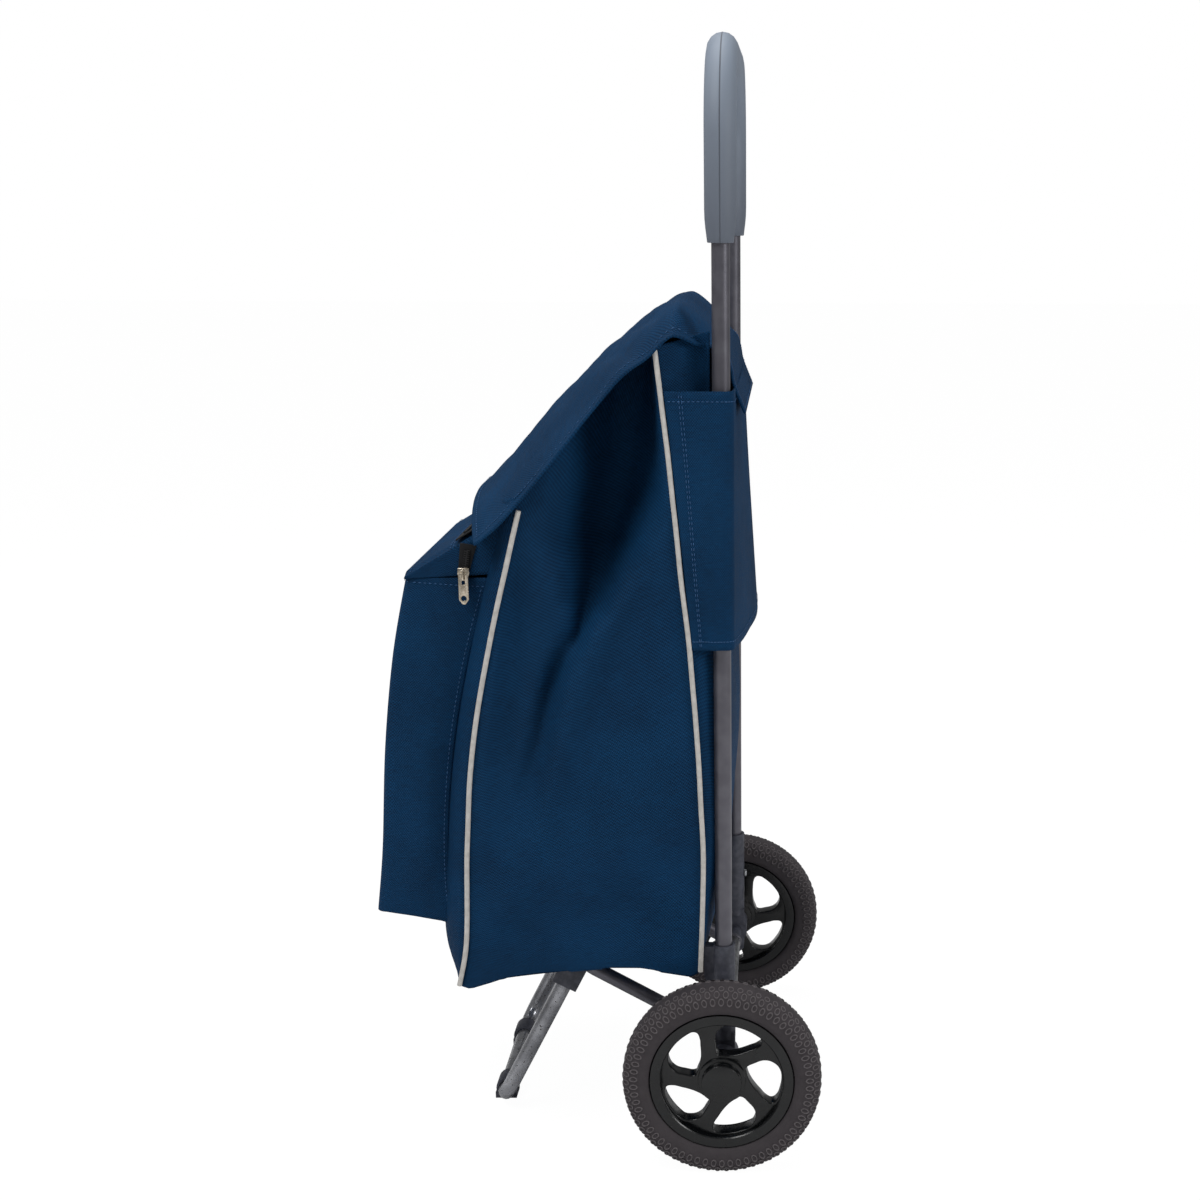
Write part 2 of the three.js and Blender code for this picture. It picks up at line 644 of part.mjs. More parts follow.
function bottomBoard() {
  const half = BAG_HALF_WIDTH - BAG_WALL - 1;
  const top = BOARD_Z + BOARD_THICKNESS;
  const outline = [[BOARD_FRONT, BOARD_Z], [BOARD_BACK, BOARD_Z], [BOARD_BACK, top], [BOARD_FRONT, top]];
  return plate(outline, -half, half);
}

// A corded seam down one corner of the bag, lying against the side wall.
function piping(profile, side) {
  const x = side * (BAG_HALF_WIDTH + SEAT_GAP + PIPING_RADIUS);
  const curve = new THREE.CatmullRomCurve3(profile.map(([y, z]) => new THREE.Vector3(x, y, z)));
  return rod(curve.getSpacedPoints(9), PIPING_RADIUS, 8);
}

add("bag_shell", bagShell(), canvas);
add("bottom_board", bottomBoard(), board);
for (const [name, side] of SIDES) {
  add("piping_front_" + name, piping(BAG_FRONT, side), pipingCord);
  add("piping_rear_" + name, piping(BAG_REAR, side), pipingCord);
}

// ---------- sleeve round the two tubes ----------

const SLEEVE_TOP = 680;
const SLEEVE_BOTTOM = 464;
function sleeveSurface(u, v) {
  const z = SLEEVE_BOTTOM + (SLEEVE_TOP - SLEEVE_BOTTOM) * v;
  const side = u < 0.5 ? 1 : -1;
  const t = 1 - 2 * Math.abs(u - 0.5); // 0 at a wing's front edge, 1 in the middle of the back
  const front = yAt(BAG_REAR, z) + PIPING_RADIUS + 2 * SEAT_GAP;
  const corner = TUBE_RADIUS + CLOTH / 2 + 1.3;
  const back = SLEEVE_BACK_BOTTOM + (SLEEVE_BACK_TOP - SLEEVE_BACK_BOTTOM) * v;
  const wing = 0.25;
  if (t < wing) return new THREE.Vector3(side * SLEEVE_X, front + ((corner - 7 - front) * t) / wing, z);
  const round = THREE.MathUtils.clamp((t - wing) / 0.1, 0, 1);
  const across = THREE.MathUtils.clamp((t - wing - 0.1) / (0.9 - wing), 0, 1);
  const turn = (round * Math.PI) / 2;
  const x = (SLEEVE_X - 7) * (1 - across) + 7 * Math.cos(turn);
  const y = corner - 7 + 7 * Math.sin(turn) + (back - corner) * Math.sin((across * Math.PI) / 2);
  return new THREE.Vector3(side * x, y, z);
}
add("sleeve", panel(sleeveSurface, 40, 4, CLOTH), canvas);

// ---------- flap ----------

const flapCurve = profileCurve(FLAP_PROFILE);
function flapSurface(u, v) {
  const across = 2 * u - 1;
  const drop = 4 * FLAP_CROWN * v * (1 - v) + FLAP_SIDE_DROP * v;
  const place = flapCurve(v);
  return new THREE.Vector3(across * FLAP_HALF_WIDTH, place.y, place.z - drop * across * across);
}
add("flap", panel(flapSurface, 10, 10, CLOTH), canvas);

// The flap's rear end runs on over the hang bar and down behind the sleeve.
const tailCurve = profileCurve(TAIL_PROFILE);
function tailSurface(u, v) {
  const place = tailCurve(v);
  return new THREE.Vector3((2 * u - 1) * TAIL_HALF_WIDTH, place.y, place.z);
}
add("flap_tail", panel(tailSurface, 2, 10, CLOTH), canvas);

// ---------- pocket and zip ----------

const POCKET_BACK = BAG_FRONT_BULGED.slice(1).map(([y, z]) => [y - 2 * SEAT_GAP, z]);
const POCKET_OUTLINE = [...POCKET_BACK.slice(0, -1), POCKET_TOP_REAR, ...POCKET_FRONT.toReversed()];
const [topFront, topRear] = [POCKET_FRONT.at(-1), POCKET_TOP_REAR];
const topSlope = Math.atan2(topRear[1] - topFront[1], topRear[0] - topFront[0]);
const ZIP_SHARE = 0.72; // of the way back over the pocket's top panel

// A box that lies over the pocket's top, from a lower to an upper height above it.
function onPocketTop(length, width, low, high, share) {
  const body = new THREE.BoxGeometry(length, width, high - low).translate(0, 0, (low + high) / 2);
  const y = THREE.MathUtils.lerp(topFront[0], topRear[0], share);
  const z = THREE.MathUtils.lerp(topFront[1], topRear[1], share);
  return body.rotateX(topSlope).translate(0, y, z);
}

const topLength = Math.hypot(topRear[0] - topFront[0], topRear[1] - topFront[1]);

// A pouch, open at the top.
function pocket() {
  const inner = POCKET_HALF_WIDTH - POCKET_WALL;
  return cut(
    solid(plate(POCKET_OUTLINE, -POCKET_HALF_WIDTH, POCKET_HALF_WIDTH)),
    plate(inset(POCKET_OUTLINE, POCKET_WALL), -inner, inner),
    onPocketTop(2 * inner, topLength - 4 * POCKET_WALL, -6, 6, 0.5),
  );
}

// The panel that closes the pouch, with the zip's slot across it.
const lidLow = SEAT_GAP;
const lidHigh = lidLow + POCKET_WALL;
function pocketTop() {
  return cut(
    solid(onPocketTop(2 * POCKET_HALF_WIDTH, topLength - 4, lidLow, lidHigh, 0.48)),
    onPocketTop(2 * POCKET_HALF_WIDTH - 30, POCKET_MOUTH, -12, 12, ZIP_SHARE),
  );
}

function zipTop() {
  const tapeLow = lidHigh + SEAT_GAP;
  const tapeHigh = tapeLow + ZIP_TAPE_THICKNESS;
  const chainHigh = tapeHigh + ZIP_CHAIN_THICKNESS;
  return join(
    onPocketTop(2 * POCKET_HALF_WIDTH - 6, ZIP_TAPE_WIDTH, tapeLow, tapeHigh, ZIP_SHARE),
    onPocketTop(2 * POCKET_HALF_WIDTH - 14, ZIP_CHAIN_WIDTH, tapeHigh - 0.5, chainHigh, ZIP_SHARE),
  );
}

// The last stretch of the zip turns down the pocket's right end.
const ZIP_END = { low: [-222, 506], high: [-214.5, 549] };
const zipLean = Math.atan2(ZIP_END.high[0] - ZIP_END.low[0], ZIP_END.high[1] - ZIP_END.low[1]);
const zipEndX = POCKET_HALF_WIDTH + SEAT_GAP;
function alongZipEnd(width, x0, x1, trim) {
  const length = Math.hypot(ZIP_END.high[0] - ZIP_END.low[0], ZIP_END.high[1] - ZIP_END.low[1]) - trim;
  const body = new THREE.BoxGeometry(x1 - x0, width, length).rotateX(-zipLean);
  const y = (ZIP_END.low[0] + ZIP_END.high[0]) / 2;
  const z = (ZIP_END.low[1] + ZIP_END.high[1]) / 2;
  return body.translate((x0 + x1) / 2, y, z);
}
const tapeFace = zipEndX + ZIP_TAPE_THICKNESS;
const chainFace = tapeFace + ZIP_CHAIN_THICKNESS;
function zipEnd() {
  return join(
    alongZipEnd(ZIP_TAPE_WIDTH, zipEndX, tapeFace, 0),
    alongZipEnd(ZIP_CHAIN_WIDTH, tapeFace - 0.5, chainFace, 4),
  );
}

const sliderX = chainFace + SEAT_GAP;
const sliderY = THREE.MathUtils.mapLinear(
  SLIDER_Z, ZIP_END.low[1], ZIP_END.high[1], ZIP_END.low[0], ZIP_END.high[0]);
const LOOP = { radius: 3.4, wire: 0.9, x: sliderX + 3 };

// A shield-shaped slider with a raised loop for its pull.
function zipSlider() {
  const outline = [[-4.6, 5.5], [-5.2, 1], [-3, -5.5], [3, -5.5], [5.2, 1], [4.6, 5.5]];
  const shield = plate(outline, sliderX, sliderX + 2.4);
  shield.translate(0, sliderY, SLIDER_Z);
  const post = new THREE.BoxGeometry(LOOP.radius, 2 * LOOP.wire, 2 * LOOP.wire);
  const legs = [-1, 1].map((end) =>
    post.clone().translate(LOOP.x + 0.4, sliderY, SLIDER_Z + end * LOOP.radius));
  const bridge = new THREE.BoxGeometry(1.6, 2 * LOOP.wire, 2 * (LOOP.radius + LOOP.wire));
  bridge.translate(LOOP.x + LOOP.radius / 2 + 1.1, sliderY, SLIDER_Z);
  return join(shield, ...legs, bridge);
}

// A flat pull with a window at its top for the slider's loop and a round hole near its end.
function zipPull() {
  const top = SLIDER_Z + 1.6;
  const half = PULL_WIDTH / 2;
  const outline = [
    [-half + 1.4, top],
    [half - 1.4, top],
    [half, top - 2],
    [half, top - PULL_LENGTH + 4],
    [half - 3, top - PULL_LENGTH],
    [-half + 3, top - PULL_LENGTH],
    [-half, top - PULL_LENGTH + 4],
    [-half, top - 2],
  ];
  const x0 = LOOP.x + 0.15;
  const x1 = x0 + 1.1;
  const window = new THREE.BoxGeometry(9, 2 * LOOP.wire + 1, 8).translate(x0, 0, top - 6);
  const hole = cylinderX(2.3, x0 - 2, x1 + 2, 0, top - PULL_LENGTH + 5.2, 16);
  return cut(solid(plate(outline, x0, x1)), window, hole);
}

add("pocket", pocket(), canvas);
add("pocket_top", pocketTop(), canvas);
add("zip_tape_top", zipTop(), blackTape);
add("zip_tape_end", zipEnd(), blackTape);
add("zip_slider", zipSlider(), zincSteel);
const pullGroup = new THREE.Group();
pullGroup.position.y = sliderY;
trolley.add(pullGroup);
add("zip_pull", zipPull(), zincSteel, pullGroup);

export default trolley;
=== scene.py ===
import math

import bmesh
import bpy
from mathutils import Matrix, Vector, noise


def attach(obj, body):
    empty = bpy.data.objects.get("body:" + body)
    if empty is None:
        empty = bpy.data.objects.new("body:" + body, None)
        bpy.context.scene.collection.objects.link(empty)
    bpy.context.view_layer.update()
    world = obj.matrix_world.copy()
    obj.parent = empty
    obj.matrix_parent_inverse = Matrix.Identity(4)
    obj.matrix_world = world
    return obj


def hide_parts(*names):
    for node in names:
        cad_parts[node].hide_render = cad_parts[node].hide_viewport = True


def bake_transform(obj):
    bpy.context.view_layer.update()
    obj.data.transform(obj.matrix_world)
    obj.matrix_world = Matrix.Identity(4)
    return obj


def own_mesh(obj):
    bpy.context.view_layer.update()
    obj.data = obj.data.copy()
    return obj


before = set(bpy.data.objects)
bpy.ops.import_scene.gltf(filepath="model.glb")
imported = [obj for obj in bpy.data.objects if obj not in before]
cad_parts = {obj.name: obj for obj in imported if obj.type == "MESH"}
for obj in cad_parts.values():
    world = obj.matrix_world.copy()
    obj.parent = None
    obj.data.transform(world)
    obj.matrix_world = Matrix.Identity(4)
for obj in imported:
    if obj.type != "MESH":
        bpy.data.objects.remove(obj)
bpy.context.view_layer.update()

# ---------- handle tube ----------
# One steel tube, bent at its two top corners into a tall hoop and coated satin grey.
# Its open lower ends stand in the sockets of the two wheel brackets.

AXLE_Y = 0.11125


def at(x, y, z):
    """A place given in millimetres, with Y counted from the axle."""
    return Vector((x, y + 1000 * AXLE_Y, z)) / 1000


def colour(red, green, blue):
    """A colour written as it looks on a screen, made linear."""
    shares = (red / 255, green / 255, blue / 255)
    return (*(((c + 0.055) / 1.055) ** 2.4 if c > 0.04 else c / 12.92 for c in shares), 1)


class Wire:
    """An output of a material's nodes. An expression on wires adds Math nodes."""

    def __init__(self, tree, socket):
        self.tree = tree
        self.socket = socket

    def node(self, kind, settings=None, inputs=None, output=0):
        """Adds any node: its settings first, then the values or links of its sockets."""
        made = self.tree.nodes.new(kind)
        for name, value in (settings or {}).items():
            setattr(made, name, value)
        for name, value in (inputs or {}).items():
            if isinstance(value, Wire):
                self.tree.links.new(value.socket, made.inputs[name])
            else:
                made.inputs[name].default_value = value
        return Wire(self.tree, made.outputs[output])

    def maths(self, operation, *values):
        return self.node("ShaderNodeMath", {"operation": operation}, dict(enumerate(values)))

    def __add__(self, other):
        return self.maths("ADD", self, other)

    __radd__ = __add__

    def __sub__(self, other):
        return self.maths("SUBTRACT", self, other)

    def __rsub__(self, other):
        return self.maths("SUBTRACT", other, self)

    def __mul__(self, other):
        return self.maths("MULTIPLY", self, other)

    __rmul__ = __mul__

    def __abs__(self):
        return self.maths("ABSOLUTE", self)

    def wave(self):
        """The sine of an angle."""
        return self.maths("SINE", self)

    def part(self, axis):
        """One of a vector's three numbers."""
        return self.node("ShaderNodeSeparateXYZ", {}, {0: self}, axis)

    def grain(self, scale, detail=2.0):
        """Noise round 0.5 over a vector, with so many lumps in a metre."""
        sizes = {"Vector": self, "Scale": scale, "Detail": detail}
        return self.node("ShaderNodeTexNoise", {}, sizes)

    def between(self, low, high):
        """0 below low, 1 above high, and a smooth step from one to the other."""
        ends = {"Value": self, "From Min": low, "From Max": high}
        return self.node("ShaderNodeMapRange", {"interpolation_type": "SMOOTHSTEP"}, ends)

    def mixed(self, first, second):
        """The first colour where this is 0 and the second where it is 1."""
        return self.node("ShaderNodeMix", {"data_type": "RGBA"}, {0: self, 6: first, 7: second}, 2)

    def bump(self, depth, strength=1.0):
        """A Normal for a height from 0 to 1 that is so many metres deep."""
        sizes = {"Height": self, "Distance": depth, "Strength": strength}
        return self.node("ShaderNodeBump", {}, sizes)


def material(name, constants):
    """A new material with its even sockets set, and a Wire of its Object coordinates."""
    made = bpy.data.materials.new(name)
    made.use_nodes = True
    shader = made.node_tree.nodes["Principled BSDF"]
    for socket, value in constants.items():
        shader.inputs[socket].default_value = value
    coordinates = made.node_tree.nodes.new("ShaderNodeTexCoord")
    return made, Wire(made.node_tree, coordinates.outputs["Object"])


def wired(made, sockets):
    """Joins wires to the material's shader."""
    shader = made.node_tree.nodes["Principled BSDF"]
    for name, wire in sockets.items():
        made.node_tree.links.new(wire.socket, shader.inputs[name])
    return made


def bent(corners, radius, steps=14):
    """The path through corners, with each inner corner turned on an arc."""
    path = [corners[0]]
    for before, corner, after in zip(corners, corners[1:], corners[2:]):
        back = (before - corner).normalized()
        ahead = (after - corner).normalized()
        half = back.angle(ahead) / 2
        centre = corner + (back + ahead).normalized() * (radius / math.sin(half))
        arm = corner + back * (radius / math.tan(half)) - centre
        axis = back.cross(arm).normalized()
        for step in range(steps + 1):
            turn = (math.pi - 2 * half) * step / steps
            path.append(centre + Matrix.Rotation(turn, 3, axis) @ arm)
    return path + [corners[-1]]


def placed(name, data):
    """A new object in the scene."""
    made = bpy.data.objects.new(name, data)
    bpy.context.scene.collection.objects.link(made)
    return made


def mesh_of_curve(curve):
    """The new mesh of a finished curve, which is removed."""
    holder = placed(curve.name, curve)
    mesh = bpy.data.meshes.new_from_object(holder)
    bpy.data.objects.remove(holder)
    bpy.data.curves.remove(curve)
    return mesh


def tube(name, path, radius, shares=None):
    """The mesh of a round bar along a path; shares thin it from point to point."""
    curve = bpy.data.curves.new(name, "CURVE")
    curve.dimensions = "3D"
    curve.bevel_depth = radius
    curve.bevel_resolution = 6
    curve.use_fill_caps = True
    line = curve.splines.new("POLY")
    line.points.add(len(path) - 1)
    for index, (point, place) in enumerate(zip(line.points, path)):
        point.co = (*place, 1)
        point.radius = shares[index] if shares else 1
    mesh = mesh_of_curve(curve)
    bm = bmesh.new()
    bm.from_mesh(mesh)
    bmesh.ops.remove_doubles(bm, verts=bm.verts, dist=1e-6)
    bmesh.ops.recalc_face_normals(bm, faces=bm.faces)
    bm.to_mesh(mesh)
    bm.free()
    return smooth(mesh, 50)


def smooth(mesh, sharp_degrees):
    """Shades a mesh smooth, apart from edges sharper than an angle."""
    mesh.shade_smooth()
    mesh.set_sharp_from_angle(angle=math.radians(sharp_degrees))
    return mesh


def show(name, mesh, finish):
    """Shows a mesh in a finish, as a new object."""
    mesh.materials.clear()
    mesh.materials.append(finish)
    return placed(name, mesh)


def piece(name, mesh, body, finish, slot, *cad_nodes):
    """Shows a mesh as a piece that rides on a body and stands for CAD nodes."""
    shown = show(name, mesh, finish)
    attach(shown, body)
    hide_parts(*cad_nodes)
    return shown


TUBE_X = 148.5
TUBE_RADIUS = 7.5
TUBE_BOTTOM = 113
HANDLE_TOP = 949
HANDLE_CORNER = 70
HANG_BAR_X = 141
HANG_BAR_Z = 702
HANG_BAR_RADIUS = 4


def handle_path(bottom):
    """The hoop's middle line, whose two ends stand at a height."""
    sides = [at(-TUBE_X, 0, bottom), at(-TUBE_X, 0, HANDLE_TOP)]
    return bent(sides + [at(TUBE_X, 0, HANDLE_TOP), at(TUBE_X, 0, bottom)], HANDLE_CORNER / 1000, 24)


grey_coat, spot = material("satin_grey_coat", {"Metallic": 0.55, "Coat Weight": 0.15})
cloudy = spot.grain(60).between(0.3, 0.7)
wired(grey_coat, {
    "Base Color": cloudy.mixed(colour(94, 93, 101), colour(106, 105, 113)),
    "Roughness": 0.34 + 0.1 * spot.grain(240),
    "Normal": spot.grain(1600).bump(0.00008, 0.5),
})
hoop = tube("handle_tube_steel", handle_path(TUBE_BOTTOM), TUBE_RADIUS / 1000)
piece("handle_tube_steel", hoop, "frame", grey_coat, "frame_tube", "handle_tube")
hang_bar_ends = [at(-HANG_BAR_X, 0, HANG_BAR_Z), at(HANG_BAR_X, 0, HANG_BAR_Z)]
hang_bar = tube("hang_bar_steel", hang_bar_ends, HANG_BAR_RADIUS / 1000)
piece("hang_bar_steel", hang_bar, "frame", grey_coat, "frame_tube", "hang_bar")

# ---------- handle grip ----------
# A soft moulded sleeve pushed over the whole bend, a little narrower at its two mouths.
# It is blue-grey, painted paler towards the top as a highlight, with a fine mould line down the middle.

GRIP_BOTTOM = 797
GRIP_RADIUS = 13
grip_path = handle_path(GRIP_BOTTOM)
# How the grip narrows at its mouths, as (millimetres from the end, share of its radius).
mouth = [(0, 0.80), (0.6, 0.83), (5, 0.87), (11, 0.93), (18, 0.98), (26, 1)]
left_mouth = [(at(-TUBE_X, 0, GRIP_BOTTOM + rise), share) for rise, share in mouth]
right_mouth = [(at(TUBE_X, 0, GRIP_BOTTOM + rise), share) for rise, share in reversed(mouth)]
stations = left_mouth + [(place, 1) for place in grip_path[1:-1]] + right_mouth
grip_soft, spot = material("grip_soft_plastic", {"Specular IOR Level": 0.4})
height = spot.part(2)
# Painted highlight: the grip's colour grows paler with height, standing in for the light on its top.
painted_top_highlight = height.between(0.78, 0.97)
mould_line = abs(spot.part(1) - AXLE_Y).between(0.0003, 0.0007)
shade = painted_top_highlight.mixed(colour(104, 111, 123), colour(138, 149, 164))
wired(grip_soft, {
    "Base Color": mould_line.mixed(colour(84, 90, 100), shade),
    "Roughness": 0.5 + 0.12 * spot.grain(90),
    "Normal": (mould_line + 0.16 * spot.grain(1300)).bump(0.0004, 0.6),
})
grip_line, shares = zip(*stations)
grip = tube("grip_sleeve", grip_line, GRIP_RADIUS / 1000, shares)
piece("grip_sleeve", grip, "frame", grip_soft, "grip", "handle_grip")

# ---------- wheel brackets ----------
# Two dark slate mouldings. Each holds the end of the tube in a round socket, carries the
# axle below it in a boss, and has an open ear in front; one screw from behind holds the tube.

SHARP = math.radians(35)


def mesh_of(name, bm):
    """The new mesh of a finished bmesh, which is freed."""
    mesh = bpy.data.meshes.new(name)
    bm.to_mesh(mesh)
    bm.free()
    return mesh


def rounded(bm, edges, offset, clamp=False):
    """Rounds edges by so many metres, each one once and always in the same order."""
    bmesh.ops.bevel(bm, geom=list(dict.fromkeys(edges)), offset=offset, offset_type="OFFSET",
                    affect="EDGES", segments=2, profile=0.5, material=-1, clamp_overlap=clamp)


def carried(node, edge):
    """A CAD node's own shape, merged, with its sharp edges rounded by so many millimetres."""
    bm = bmesh.new()
    bm.from_mesh(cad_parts[node].data)
    bmesh.ops.remove_doubles(bm, verts=bm.verts, dist=1e-6)
    flat = math.radians(0.6)
    bmesh.ops.dissolve_limit(bm, angle_limit=flat, verts=bm.verts, edges=bm.edges)
    sharp = [e for e in bm.edges if e.is_manifold and e.calc_face_angle(0) > SHARP]
    rounded(bm, sharp, edge / 1000, clamp=True)
    return smooth(mesh_of(node + "_shape", bm), 38)


SIDES = (("left", -1), ("right", 1))
slate, spot = material("slate_plastic", {"Specular IOR Level": 0.45})
mottled = spot.grain(150, 4).between(0.3, 0.75)
wired(slate, {
    "Base Color": mottled.mixed(colour(60, 62, 72), colour(82, 84, 95)),
    "Roughness": 0.42 + 0.2 * spot.grain(400),
    "Normal": spot.grain(2400, 3).bump(0.0001, 0.7),
})
zinc, spot = material("zinc_plated_steel", {"Metallic": 0.9})
wired(zinc, {
    "Base Color": spot.grain(300, 4).between(0.35, 0.7).mixed(
        colour(128, 130, 134), colour(178, 180, 184)),
    "Roughness": 0.25 + 0.2 * spot.grain(700),
    "Normal": spot.grain(1500).bump(0.00005, 0.5),
})
for side, _ in SIDES:
    piece(f"bracket_moulding_{side}", carried(f"bracket_{side}", 0.7), "frame", slate,
          "slate_plastic", f"bracket_{side}")
    piece(f"bracket_screw_head_{side}", carried(f"bracket_screw_{side}", 0.3), "frame", zinc,
          "hardware", f"bracket_screw_{side}")

# ---------- axle and its hardware ----------
# A plated steel rod through both brackets, in a sleeve between the stand's eyes, with a
# spacer, a washer and a hexagon nut at each side.

AXLE_STEEL = [
    "axle", "axle_sleeve", "axle_washer_left", "axle_washer_right", "axle_nut_left", "axle_nut_right",
]
for node in AXLE_STEEL:
    piece(f"{node}_steel", carried(node, 0.3), "frame", zinc, "hardware", node)
for side, _ in SIDES:
    piece(f"axle_spacer_ring_{side}", carried(f"axle_spacer_{side}", 0.4), "frame", slate,
          "slate_plastic", f"axle_spacer_{side}")

# ---------- stand: strut ----------
# A bent tube like the handle's, whose two ends are pressed flat into eyes on the axle.
# It rises forward to a cross bar below the bag, and is coated the same satin grey.

AXLE_Z = 87.5
STRUT_RISE = math.radians(29.25)
STRUT_LENGTH = 152.4
STRUT_START = 21
STRUT_X = 113
STRUT_RADIUS = 6.5
STRUT_BEND = 18
EYE_RADIUS = 8.4
EYE_THICKNESS = 5


def along_strut(x, distance):
    """The place so far up the strut from the axle."""
    return at(x, -distance * math.cos(STRUT_RISE), AXLE_Z + distance * math.sin(STRUT_RISE))


def add_block(bm, matrix, edge):
    """Adds a block of a matrix's size and place, with rounded edges."""
    made = bmesh.ops.create_cube(bm, size=1, matrix=matrix)
    rounded(bm, [e for v in made["verts"] for e in v.link_edges], edge)


def add_disc(bm, centre, radius, thickness, edge, sides=32):
    """Adds a disc on the X axis with rounded rims, in metres."""
    turn = Matrix.Translation(centre) @ Matrix.Rotation(math.pi / 2, 4, "Y")
    made = bmesh.ops.create_cone(bm, cap_ends=True, segments=sides, radius1=radius, radius2=radius,
                                 depth=thickness, matrix=turn)
    rims = [e for v in made["verts"] for e in v.link_edges if e.calc_face_angle(0) > 1]
    rounded(bm, rims, edge)


strut_corners = [along_strut(-STRUT_X, STRUT_START), along_strut(-STRUT_X, STRUT_LENGTH)]
strut_corners += [along_strut(STRUT_X, STRUT_LENGTH), along_strut(STRUT_X, STRUT_START)]
strut = bmesh.new()
strut.from_mesh(tube("strut", bent(strut_corners, STRUT_BEND / 1000), STRUT_RADIUS / 1000))
eye_neck = Matrix.Diagonal((EYE_THICKNESS / 1000, 0.026, 0.0138, 1))
for _, sign in SIDES:
    eye = at(sign * STRUT_X, 0, AXLE_Z)
    add_disc(strut, eye, EYE_RADIUS / 1000, EYE_THICKNESS / 1000, 0.0006)
    lay = Matrix.Translation(along_strut(sign * STRUT_X, 13)) @ Matrix.Rotation(-STRUT_RISE, 4, "X")
    add_block(strut, lay @ eye_neck, 0.0009)
piece("strut_tube", smooth(mesh_of("strut_tube", strut), 50), "stand", grey_coat,
      "frame_tube", "strut_frame")

# ---------- stand: leg ----------
# A brighter bent tube that stands on its own lower cross bar. Two moulded blocks take its
# open ends and turn on the strut's cross bar, and two clip-on feet keep it off the floor.

LEG_X = 91
LEG_LENGTH = 170.4
LEG_LEAN = math.radians(27.2)
LEG_START = 13
LEG_RADIUS = 7.3
LEG_BEND = 22
strut_bar = along_strut(0, STRUT_LENGTH)


def along_leg(x, distance):
    """The place so far down the leg from the strut's cross bar."""
    down = Vector((0, -math.sin(LEG_LEAN), -math.cos(LEG_LEAN)))
    return Vector((x / 1000, strut_bar.y, strut_bar.z)) + down * distance / 1000


leg_corners = [along_leg(-LEG_X, LEG_START), along_leg(-LEG_X, LEG_LENGTH)]
leg_corners += [along_leg(LEG_X, LEG_LENGTH), along_leg(LEG_X, LEG_START)]
silver, spot = material("silver_steel", {"Metallic": 0.75, "Coat Weight": 0.2})
specks = spot.grain(420, 3).between(0.63, 0.70)
shade = spot.grain(45).between(0.35, 0.65).mixed(colour(134, 135, 140), colour(166, 167, 172))
wired(silver, {
    "Base Color": specks.mixed(shade, colour(72, 66, 62)),
    "Roughness": 0.22 + 0.3 * specks + 0.08 * spot.grain(130),
    "Normal": specks.bump(0.0002, 0.5),
})
leg_hoop = tube("leg_hoop", bent(leg_corners, LEG_BEND / 1000), LEG_RADIUS / 1000)
piece("leg_hoop", leg_hoop, "leg", silver, "leg_tube", "leg_tube")
for side, _ in SIDES:
    piece(f"leg_block_{side}", carried(f"pivot_block_{side}", 0.9), "leg", slate, "slate_plastic",
          f"pivot_block_{side}")
    piece(f"leg_foot_{side}", carried(f"foot_{side}", 0.8), "leg", slate, "slate_plastic",
          f"foot_{side}")

# ---------- tyres ----------
# Two solid tyres of grey-brown foam rubber, moulded in one with three rows of small raised
# oval loops round each shoulder, whose crests carry a painted highlight. Each is stretched on its rim.

WHEEL_X = 192.75
TREAD_COUNT = 66
half_section = [
    (12, 63.8), (13.8, 65.4), (15, 69), (15.7, 74), (15.8, 79), (14.9, 82.4), (12.4, 85), (8.6, 86.5),
    (3.5, 87),
]
# Each row of loops: its place (x, radius), its tilt, its half sizes round and across, its stagger.
LOOP_ROWS = [
    ((15.75, 77), 1.52, (2.1, 3.2), 0),
    ((13.9, 83.3), 0.95, (2.2, 2.9), 0.5),
    ((8.2, 86.1), 0.2, (2.3, 3.1), 0),
]
LOOP_RISE = 1.9


def turned(outline, steps):
    """A ring turned about the X axis from a closed (x, radius) outline in millimetres."""
    bm = bmesh.new()
    ring = [bm.verts.new((x / 1000, 0, radius / 1000)) for x, radius in outline]
    edges = [bm.edges.new(pair) for pair in zip(ring, ring[1:] + ring[:1])]
    bmesh.ops.spin(bm, geom=ring + edges, cent=(0, 0, 0), axis=(1, 0, 0), angle=2 * math.pi,
                   steps=steps, use_merge=True)
    bmesh.ops.recalc_face_normals(bm, faces=bm.faces)
    return bm


tread_loop = bmesh.new()
crest = tread_loop.verts.layers.float.new("painted_crest_highlight")
line = [tread_loop.verts.new(place) for place in ((1.3, 0, 0), (1, 0, 0.42), (0.66, 0, 0))]
# Each loop's crest is marked for a painted highlight.
line[1][crest] = 1
edges = [tread_loop.edges.new(pair) for pair in zip(line, line[1:])]
bmesh.ops.spin(tread_loop, geom=line + edges, cent=(0, 0, 0), axis=(0, 0, 1), angle=math.tau, steps=12,
               use_merge=True)
bmesh.ops.recalc_face_normals(tread_loop, faces=tread_loop.faces)
loop_mesh = mesh_of("tread_loop", tread_loop)
tread = bmesh.new()
tread.verts.layers.float.new("painted_crest_highlight")
for step in range(TREAD_COUNT):
    for sign in (-1, 1):
        for (x, radius), tilt, (round_way, across_way), stagger in LOOP_ROWS:
            turn = math.tau * (step + stagger + (0.5 if sign < 0 else 0)) / TREAD_COUNT
            out = Matrix.Translation((sign * x / 1000, 0, radius / 1000))
            place = Matrix.Rotation(turn, 4, "X") @ out @ Matrix.Rotation(sign * tilt, 4, "Y")
            size = (across_way / 1000, round_way / 1000, LOOP_RISE / 1000, 1)
            one = loop_mesh.copy()
            one.transform(place @ Matrix.Diagonal(size))
            tread.from_mesh(one)
            bpy.data.meshes.remove(one)
tread_mesh = mesh_of("tread", tread)

